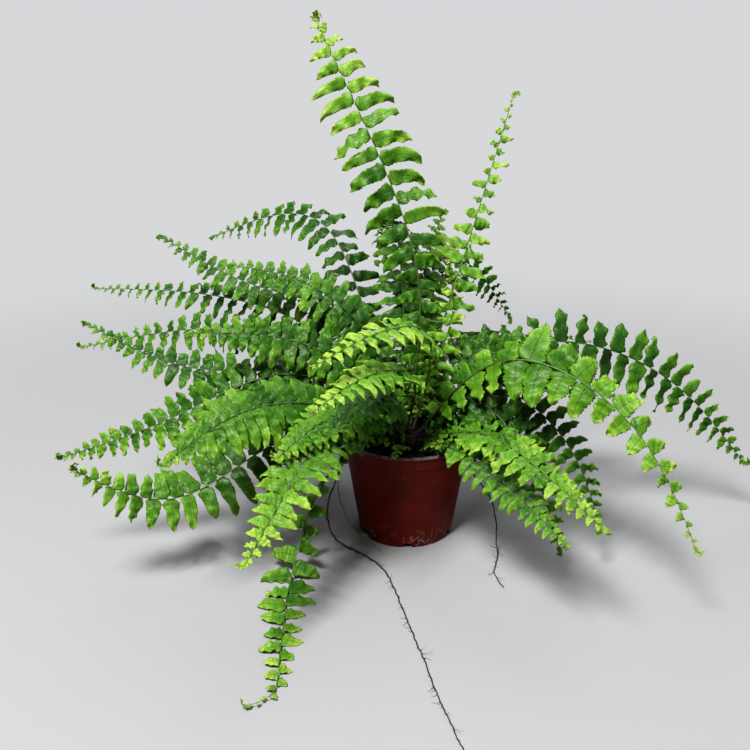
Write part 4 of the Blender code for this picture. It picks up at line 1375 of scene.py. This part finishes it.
def clear_of_pot(points):
    """Moves points that would be inside the pot, its mix or the surface it stands on to just outside."""
    radius = np.hypot(points[..., 0], points[..., 1])
    height = points[..., 2]
    mix_top = MIX_LEVEL + CLEARANCE
    wall = wall_radius(np.clip(height, 0, POT_HEIGHT)) + CLEARANCE
    inside = radius < RIM_RADIUS - LIP_WIDTH - CLEARANCE
    sunk = inside & (height < mix_top) & (height > mix_top - SUNK_DEPTH)
    height = np.where(sunk, mix_top, height)
    in_wall = (height < mix_top) & (radius < wall)
    in_rim = ~inside & (radius < RIM_RADIUS + CLEARANCE)
    in_rim &= (height >= mix_top) & (height < POT_HEIGHT + CLEARANCE)
    height = np.where(in_rim, POT_HEIGHT + CLEARANCE, height)
    outwards = np.where(in_wall, wall / np.maximum(radius, 1 * MM), 1.0)
    flat = points[..., :2] * outwards[..., None]
    return np.concatenate((flat, np.maximum(height, CLEARANCE)[..., None]), axis=-1)


def leaflet_faces(stations, columns):
    """Faces of one leaflet, whose two skins share their margin.

    Its points are the upper skin's, then the lower skin's inner ones.
    """
    upper = np.arange(stations * columns).reshape(stations, columns)
    lower = upper.copy()
    inner = np.arange((stations - 2) * (columns - 2)).reshape(stations - 2, columns - 2)
    lower[1:-1, 1:-1] = stations * columns + inner
    faces = []
    for i in range(stations - 1):
        for j in range(columns - 1):
            corners = ((i, j), (i + 1, j), (i + 1, j + 1), (i, j + 1))
            faces.append([upper[corner] for corner in corners])
            faces.append([lower[corner] for corner in reversed(corners)])
    return np.array(faces)


def add_leaflets(skin, rows, stations, columns):
    """Adds closed thin leaflets to a skin, with this many points along and across each."""
    if not len(rows["length"]):
        return
    thickness = bpy.context.scene.fern_leaf.thickness
    upper, normal, u, v = leaflet_surface(rows, stations, columns)
    upper = clear_of_pot(upper)
    body = np.minimum(thickness, 0.12 * rows["width"])[:, None, None]
    lens = np.sin(math.pi * np.clip(0.06 + 0.94 * u, 0, 1))[None, 1:-1, None] ** 0.5
    depth = body * lens * (1 - v[1:-1] ** 4)
    lower = upper[:, 1:-1, 1:-1] - normal[:, 1:-1, None, :] * depth[..., None]
    count = len(rows["length"])
    points = np.concatenate((upper.reshape(count, -1, 3), lower.reshape(count, -1, 3)), axis=1)
    along = np.concatenate((np.repeat(u, columns), np.repeat(u[1:-1], columns - 2)))
    across = np.concatenate((np.tile(v, stations), np.tile(v[1:-1], stations - 2)))
    one = leaflet_faces(stations, columns)
    size = points.shape[1]
    faces = [(one if sign > 0 else one[:, ::-1]) + k * size for k, sign in enumerate(rows["sign"])]
    skin.add(
        points.reshape(-1, 3), np.concatenate(faces), along=np.tile(along, count),
        across=np.tile(across, count), tone=np.repeat(rows["tone"], size),
        chance=np.repeat(rows["chance"], size),
    )


def chosen_rows(rows, chosen):
    """The rows of the leaflets for which chosen is true."""
    return {name: values[chosen] for name, values in rows.items()}


def add_stalk(skin, frond, axis, slot):
    """The frond's wiry stalk, rooted a little way into the crown."""
    curl = np.linspace(1, axis.run[-1], STALK_CURL_POINTS)[1:]
    places = np.concatenate((np.linspace(0, 1, STALK_POINTS), curl))
    points, along, side, _ = axis.at(places)
    rooted = points[:1] - along[:1] * STALK_ROOTED
    points = np.concatenate((rooted, points))
    side = np.concatenate((side[:1], side))
    places = np.concatenate(([0.0], places))
    wide = np.maximum(STALK_TIP, STALK_WIDTH * (1 - places)) / 2
    tip = 1 - 0.45 * smooth_step(places, 0.98, axis.run[-1])
    shape = tube(points, wide * tip, STALK_SIDES, side, 0.8)
    tone = frond.low + (frond.high - frond.low) * 0.6
    marks = np.concatenate((np.repeat(np.clip(places, 0, 1), STALK_SIDES), (0.0, 1.0)))
    skin.add(*shape, slot, along=marks, tone=tone)


def add_stalk_scales(skin, axis, rng, slot, count):
    """Small dry scales on the lowest part of a stalk."""
    spots, along, side, up = axis.at(rng.uniform(0.0, 0.13, count))
    for point, ahead, across, rise in zip(spots, along, side, up):
        angle = rng.uniform(0, 2 * math.pi)
        off = across * math.cos(angle) + rise * math.sin(angle)
        foot = point + off * 0.5 * MM
        heading = ahead * rng.uniform(0.4, 1.0) + off * rng.uniform(0.4, 1.0)
        shape = scale_blade(rng, foot, heading, rng.uniform(0.9, 2.2) * MM, STALK_SCALE_WIDTH)
        skin.add(*shape, slot, chance=rng.uniform(0, 1), along=rng.uniform(0, 1))


def settle_frond(scene, skin, name, young):
    """Makes a grown frond of its skin, with blades, a stalk and scales, in place of the frame's frond."""
    blade = leaf_finish(scene, "young_blade" if young else "leaf_blade")
    piece = skin.make(name + "_grown", [blade, stalk_finish(), scale_finish(scene)])
    settle(piece, [name])


def grow_frond(context, frond, number):
    """Grows one frond with its leaflets, its stalk and its scales."""
    rng = np.random.default_rng(FROND_SEED + number)
    habit = HABITS[frond.habit]
    axis = FrondAxis(frond, rng)
    rows = leaflet_rows(frond, habit, axis, rng)
    small = rows["length"] < SMALL_LEAFLET
    skin = Skin()
    add_leaflets(skin, chosen_rows(rows, ~small), *LEAFLET_GRID)
    add_leaflets(skin, chosen_rows(rows, small), *SMALL_LEAFLET_GRID)
    add_stalk(skin, frond, axis, 1)
    add_stalk_scales(skin, axis, rng, 2, SPROUT_SCALES if frond.habit == "sprout" else STALK_SCALES)
    settle_frond(context.scene, skin, frond.name, frond.habit == "lime")


class FERN_OT_fronds(bpy.types.Operator):
    """Grows every frond on its own curve, with its leaflets, its stalk and its curled tip"""

    bl_idname = "fern.fronds"
    bl_label = "Fronds"

    def execute(self, context):
        for number, frond in enumerate(FRONDS + (TRAILING_FROND,)):
            grow_frond(context, frond, number)
        return {"FINISHED"}


# Croziers, runners and roots


def crozier_line(bearing, radius, height):
    """A stalk that rises from the potting mix and ends in a flat coil."""
    foot = at_bearing(bearing, radius * MM, MIX_LEVEL + FIT_GAP)
    centre = Vector((foot.x, foot.y, POT_HEIGHT + height * MM))
    outward = at_bearing(bearing, 1, 0)
    side = centre - outward * CROZIER_COIL
    line = [
        foot.lerp(side, share) - Vector((0, 0, CROZIER_ROOTED * (1 - share))) for share in (0, 0.3, 0.6, 0.85)
    ]
    for k in range(COIL_STEPS + 1):
        turn = 2 * math.pi * CROZIER_TURNS * k / COIL_STEPS
        size = CROZIER_COIL * (1 - COIL_TIGHTENING * k / COIL_STEPS)
        line.append(centre - outward * (math.cos(turn) * size) + Vector((0, 0, math.sin(turn) * size)))
    return line


# The look of a crozier's folded leaflets, as in HABIT_VALUES
FOLDED_LEAFLET = {
    "point": 0.3, "lean": 0.4, "droop": 0, "hook": -0.6, "sickle": 0.5, "tilt": 0, "twist": 0, "ruffle": 0.08,
    "waves": 1.5, "puff": 0.04, "cup": 0.1, "teeth": 3, "depth": 0.1, "lobe": 0,
}


def folded_rows(rng, line, along, inwards, sideways):
    """The rows, as from leaflet_rows, of the leaflets that are folded inwards on a crozier."""
    spots = np.arange(14, len(line) - 2, 3)
    size = 2 * len(spots)
    signs = np.repeat((1.0, -1.0), len(spots))
    spots = np.concatenate((spots, spots))
    out = sideways * signs[:, None] * 0.8 + inwards[spots] * 0.6
    rows = {name: np.full(size, float(value)) for name, value in FOLDED_LEAFLET.items()}
    rows.update({
        "root": line[spots], "ahead": along[spots], "out": unit(out), "sign": signs,
        "up": unit(np.cross(out, along[spots]) * signs[:, None]),
        "length": rng.uniform(1.1, 1.9, size) * MM, "width": np.full(size, CROZIER_LEAFLET_WIDTH),
        "phase": rng.uniform(0, 1, (size, 3)), "tone": rng.uniform(0.6, 0.9, size),
        "chance": rng.uniform(0, 1, size),
    })
    return rows


class FERN_OT_croziers(bpy.types.Operator):
    """Makes the young coiled fronds, with their folded leaflets and pale scales"""

    bl_idname = "fern.croziers"
    bl_label = "Croziers"

    def execute(self, context):
        for number, (name, bearing, radius, height) in enumerate(CROZIERS):
            rng = np.random.default_rng(CROZIER_SEED + number)
            line = np.array([tuple(point) for point in crozier_line(bearing, radius, height)])
            count = len(line)
            radii = CROZIER_RADIUS * (1 - CROZIER_THINNING * np.linspace(0, 1, count))
            sideways = np.array(at_bearing(bearing + 90, 1, 0))
            skin = Skin()
            stalk = tube(line, radii, CROZIER_SIDES, sideways)
            skin.add(*stalk, 1, along=tube_marks(count, CROZIER_SIDES), tone=0.75)
            along = unit(np.gradient(line, axis=0))
            inwards = np.cross(sideways, along)
            add_leaflets(skin, folded_rows(rng, line, along, inwards, sideways), *CROZIER_LEAFLET_GRID)
            for _ in range(CROZIER_SCALES):
                k = rng.integers(0, count - 8)
                angle = rng.uniform(0, 2 * math.pi)
                off = sideways * math.cos(angle) + inwards[k] * math.sin(angle)
                heading = along[k] * rng.uniform(0.3, 0.9) + off
                foot = line[k] + off * radii[k] * 0.8
                shape = scale_blade(rng, foot, heading, rng.uniform(0.7, 1.7) * MM, CROZIER_SCALE_WIDTH)
                skin.add(*shape, 2, chance=rng.uniform(0.5, 1), along=rng.uniform(0, 1))
            settle_frond(context.scene, skin, name, True)
        return {"FINISHED"}


def over_rim(bearing, beyond, rise):
    """A point this far beyond the rim's outer edge and this far over its top."""
    return at_bearing(bearing, RIM_RADIUS + beyond, POT_HEIGHT + rise)


def hanging_curve(line):
    """The points of a hanging line, from the potting mix over the rim and along its route."""
    start = at_bearing(line.start[0], line.start[1] * MM, MIX_LEVEL + FIT_GAP + line.radius)
    inside = over_rim(line.bearing, -LIP_WIDTH / 2, RIM_CLEARANCE)
    corner = over_rim(line.bearing, RIM_CORNER * RIM_CLEARANCE, RIM_CORNER * RIM_CLEARANCE)
    outside = over_rim(line.bearing, RIM_CLEARANCE, -RIM_CLEARANCE)
    rest = [Vector((x * MM, y * MM, z * MM)) for x, y, z in line.route]
    return smooth_curve([start, inside, corner, outside] + rest, line.steps)


def noise_shift(point, scale):
    """A smooth random shift at a point, with each of its parts from -1 to 1."""
    place = Vector(point) * scale
    return np.array([noise.noise(place + Vector(offset)) for offset in NOISE_OFFSETS])


def wandering(line, radius):
    """The line, which wanders from side to side by about its radius once it is away from its start."""
    wander = np.array([noise_shift(point, 210) + noise_shift(point, 620) * 0.5 for point in line])
    return line + wander * radius * smooth_step(np.linspace(0, 1, len(line)), 0, 0.1)[:, None]


def rootlet(rng, start, heading, length, radius):
    """A fine side root that wanders and thins."""
    line = [start]
    heading = unit(heading)
    for _ in range(ROOTLET_STEPS):
        heading = unit(heading + rng.normal(0, 0.22, 3))
        step = line[-1] + heading * length / ROOTLET_STEPS
        line.append(np.array((step[0], step[1], max(step[2], radius))))
    return tube(line, np.linspace(radius, 0.35 * radius, ROOTLET_STEPS + 1), ROOTLET_SIDES)


class FERN_OT_runners(bpy.types.Operator):
    """Lays the thin runners and the root that hang over the rim, with their fine side roots"""

    bl_idname = "fern.runners"
    bl_label = "Runners and roots"

    def execute(self, context):
        group = group_named("fibre", fibre_group)
        ground = context.scene.fern_ground
        for number, hanging in enumerate(HANGING_LINES):
            rng = np.random.default_rng(RUNNER_SEED + number)
            count = hanging.steps
            is_root = hanging.name == "grey_root"
            look = "root_bark" if is_root else "runner_bark"
            colour = ground.root_grey if is_root else ground.runner_brown
            bark = finish_named(look, lambda: fibre_material(look, colour, group, 0.58, 1700.0))
            line = wandering(hanging_curve(hanging), hanging.radius)
            bumps = np.array([noise.noise(Vector(point) * 1500) for point in line])
            thin = 1 - 0.45 * np.linspace(0, 1, count) ** 1.5
            radii = hanging.radius * RUNNER_SLIMNESS * thin * (1 + 0.25 * bumps)
            line[:, 2] = np.maximum(line[:, 2], radii + 0.05 * MM)
            skin = Skin()
            skin.add(*tube(line, radii, RUNNER_SIDES), along=tube_marks(count, RUNNER_SIDES), chance=0.4)
            along = unit(np.gradient(line, axis=0))
            for _ in range(round(count * ROOTLETS_PER_POINT)):
                k = rng.integers(count // 6, count - 4)
                off = unit(np.cross(along[k], rng.normal(size=3)))
                heading = off + along[k] * rng.uniform(-0.2, 0.8)
                length = rng.uniform(1.5, 6.5) * MM
                if math.hypot(line[k][0], line[k][1]) < RIM_RADIUS + 4 * MM:
                    heading = heading + unit((line[k][0], line[k][1], 0)) * 0.8
                shape = rootlet(rng, line[k], heading, length, FINE_ROOT_RADIUS)
                skin.add(*shape, chance=rng.uniform(0.2, 1))
            settle(skin.make(hanging.name + "_grown", [bark]), [hanging.name])
        return {"FINISHED"}


# The stage


def add_soft_light(name, power, size, spot, colour):
    """A square area light at a spot, turned to the plant."""
    light = bpy.data.lights.new(name, "AREA")
    light.energy = power
    light.size = size
    light.color = colour
    lamp = place_object(name, light)
    lamp.location = spot
    lamp.rotation_euler = (Vector(LIT_SPOT) - Vector(spot)).to_track_quat("-Z", "Y").to_euler()


def add_floor(colour):
    """A round floor that sweeps up into an open wall, so that no edge shows behind the plant."""
    rounding = [
        (WALL_RADIUS - SWEEP + SWEEP * math.sin(a), SWEEP - SWEEP * math.cos(a))
        for a in np.linspace(0, math.pi / 2, SWEEP_STEPS)
    ]
    profile = [(0, 0)] + [(radius, 0) for radius in FLOOR_RINGS] + rounding
    points, faces = turned(profile + [(WALL_RADIUS, WALL_HEIGHT), (0, WALL_HEIGHT)], FLOOR_SIDES)
    mesh = bpy.data.meshes.new("studio_floor")
    mesh.from_pydata(points[:-1], [], [face for face in faces if len(points) - 1 not in face])
    mesh.shade_smooth()
    mesh.materials.append(floor_material(colour))
    return place_object("studio_floor", mesh)


def add_camera():
    camera = place_object("camera", bpy.data.cameras.new("camera"))
    camera.data.angle = math.radians(VIEW_ANGLE)
    camera.data.clip_start = 0.01
    pitch = math.radians(VIEW_PITCH)
    camera.location = Vector(VIEW_AIM) + Vector((0, -math.cos(pitch), math.sin(pitch))) * VIEW_DISTANCE
    camera.rotation_euler = (math.pi / 2 - pitch, 0, 0)
    return camera


class FERN_OT_stage(bpy.types.Operator):
    """Sets out the pale floor, the soft lights and the camera"""

    bl_idname = "fern.stage"
    bl_label = "Stage"

    def execute(self, context):
        settings = context.scene.fern_stage
        add_floor(settings.floor)
        world = bpy.data.worlds.new("even_light")
        world.use_nodes = True
        background = world.node_tree.nodes["Background"]
        background.inputs["Color"].default_value = SKY_COLOUR
        background.inputs["Strength"].default_value = settings.sky
        context.scene.world = world
        for name, size, spot, colour in LIGHTS:
            add_soft_light(name, getattr(settings, name), size, spot, colour)
        context.scene.camera = add_camera()
        context.scene.view_settings.view_transform = "Standard"
        return {"FINISHED"}


class FERN_PT_panel(bpy.types.Panel):
    """Lists the fern's sizes, colours and pieces"""

    bl_idname = "FERN_PT_panel"
    bl_label = "Potted sword fern"
    bl_space_type = "VIEW_3D"
    bl_region_type = "UI"
    bl_category = "Fern"

    def draw(self, context):
        layout = self.layout
        for title, name, operators in PANEL_ROWS:
            box = layout.box()
            box.label(text=title)
            settings = getattr(context.scene, name)
            for setting in settings.__annotations__:
                box.prop(settings, setting)
            for operator in operators:
                box.operator(operator.bl_idname)


PANEL_ROWS = (
    ("Stage", "fern_stage", (FERN_OT_stage,)),
    ("Pot", "fern_pot", (FERN_OT_pot,)),
    ("Ground", "fern_ground", (FERN_OT_potting_mix, FERN_OT_crown, FERN_OT_runners)),
    ("Fronds", "fern_leaf", (FERN_OT_fronds, FERN_OT_croziers)),
)
SETTINGS = {
    "fern_stage": FernStageSettings,
    "fern_pot": FernPotSettings,
    "fern_ground": FernGroundSettings,
    "fern_leaf": FernLeafSettings,
}


def register():
    for name, group in SETTINGS.items():
        bpy.utils.register_class(group)
        setattr(bpy.types.Scene, name, PointerProperty(type=group))
    for _, _, operators in PANEL_ROWS:
        for operator in operators:
            bpy.utils.register_class(operator)
    bpy.utils.register_class(FERN_PT_panel)


def unregister():
    bpy.utils.unregister_class(FERN_PT_panel)
    for _, _, operators in reversed(PANEL_ROWS):
        for operator in reversed(operators):
            bpy.utils.unregister_class(operator)
    for name, group in reversed(SETTINGS.items()):
        delattr(bpy.types.Scene, name)
        bpy.utils.unregister_class(group)


def main():
    register()
    bpy.ops.fern.stage()
    bpy.ops.fern.pot()
    bpy.ops.fern.potting_mix()
    bpy.ops.fern.crown()
    bpy.ops.fern.runners()
    bpy.ops.fern.croziers()
    bpy.ops.fern.fronds()
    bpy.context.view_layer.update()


if __name__ == "__main__":
    main()
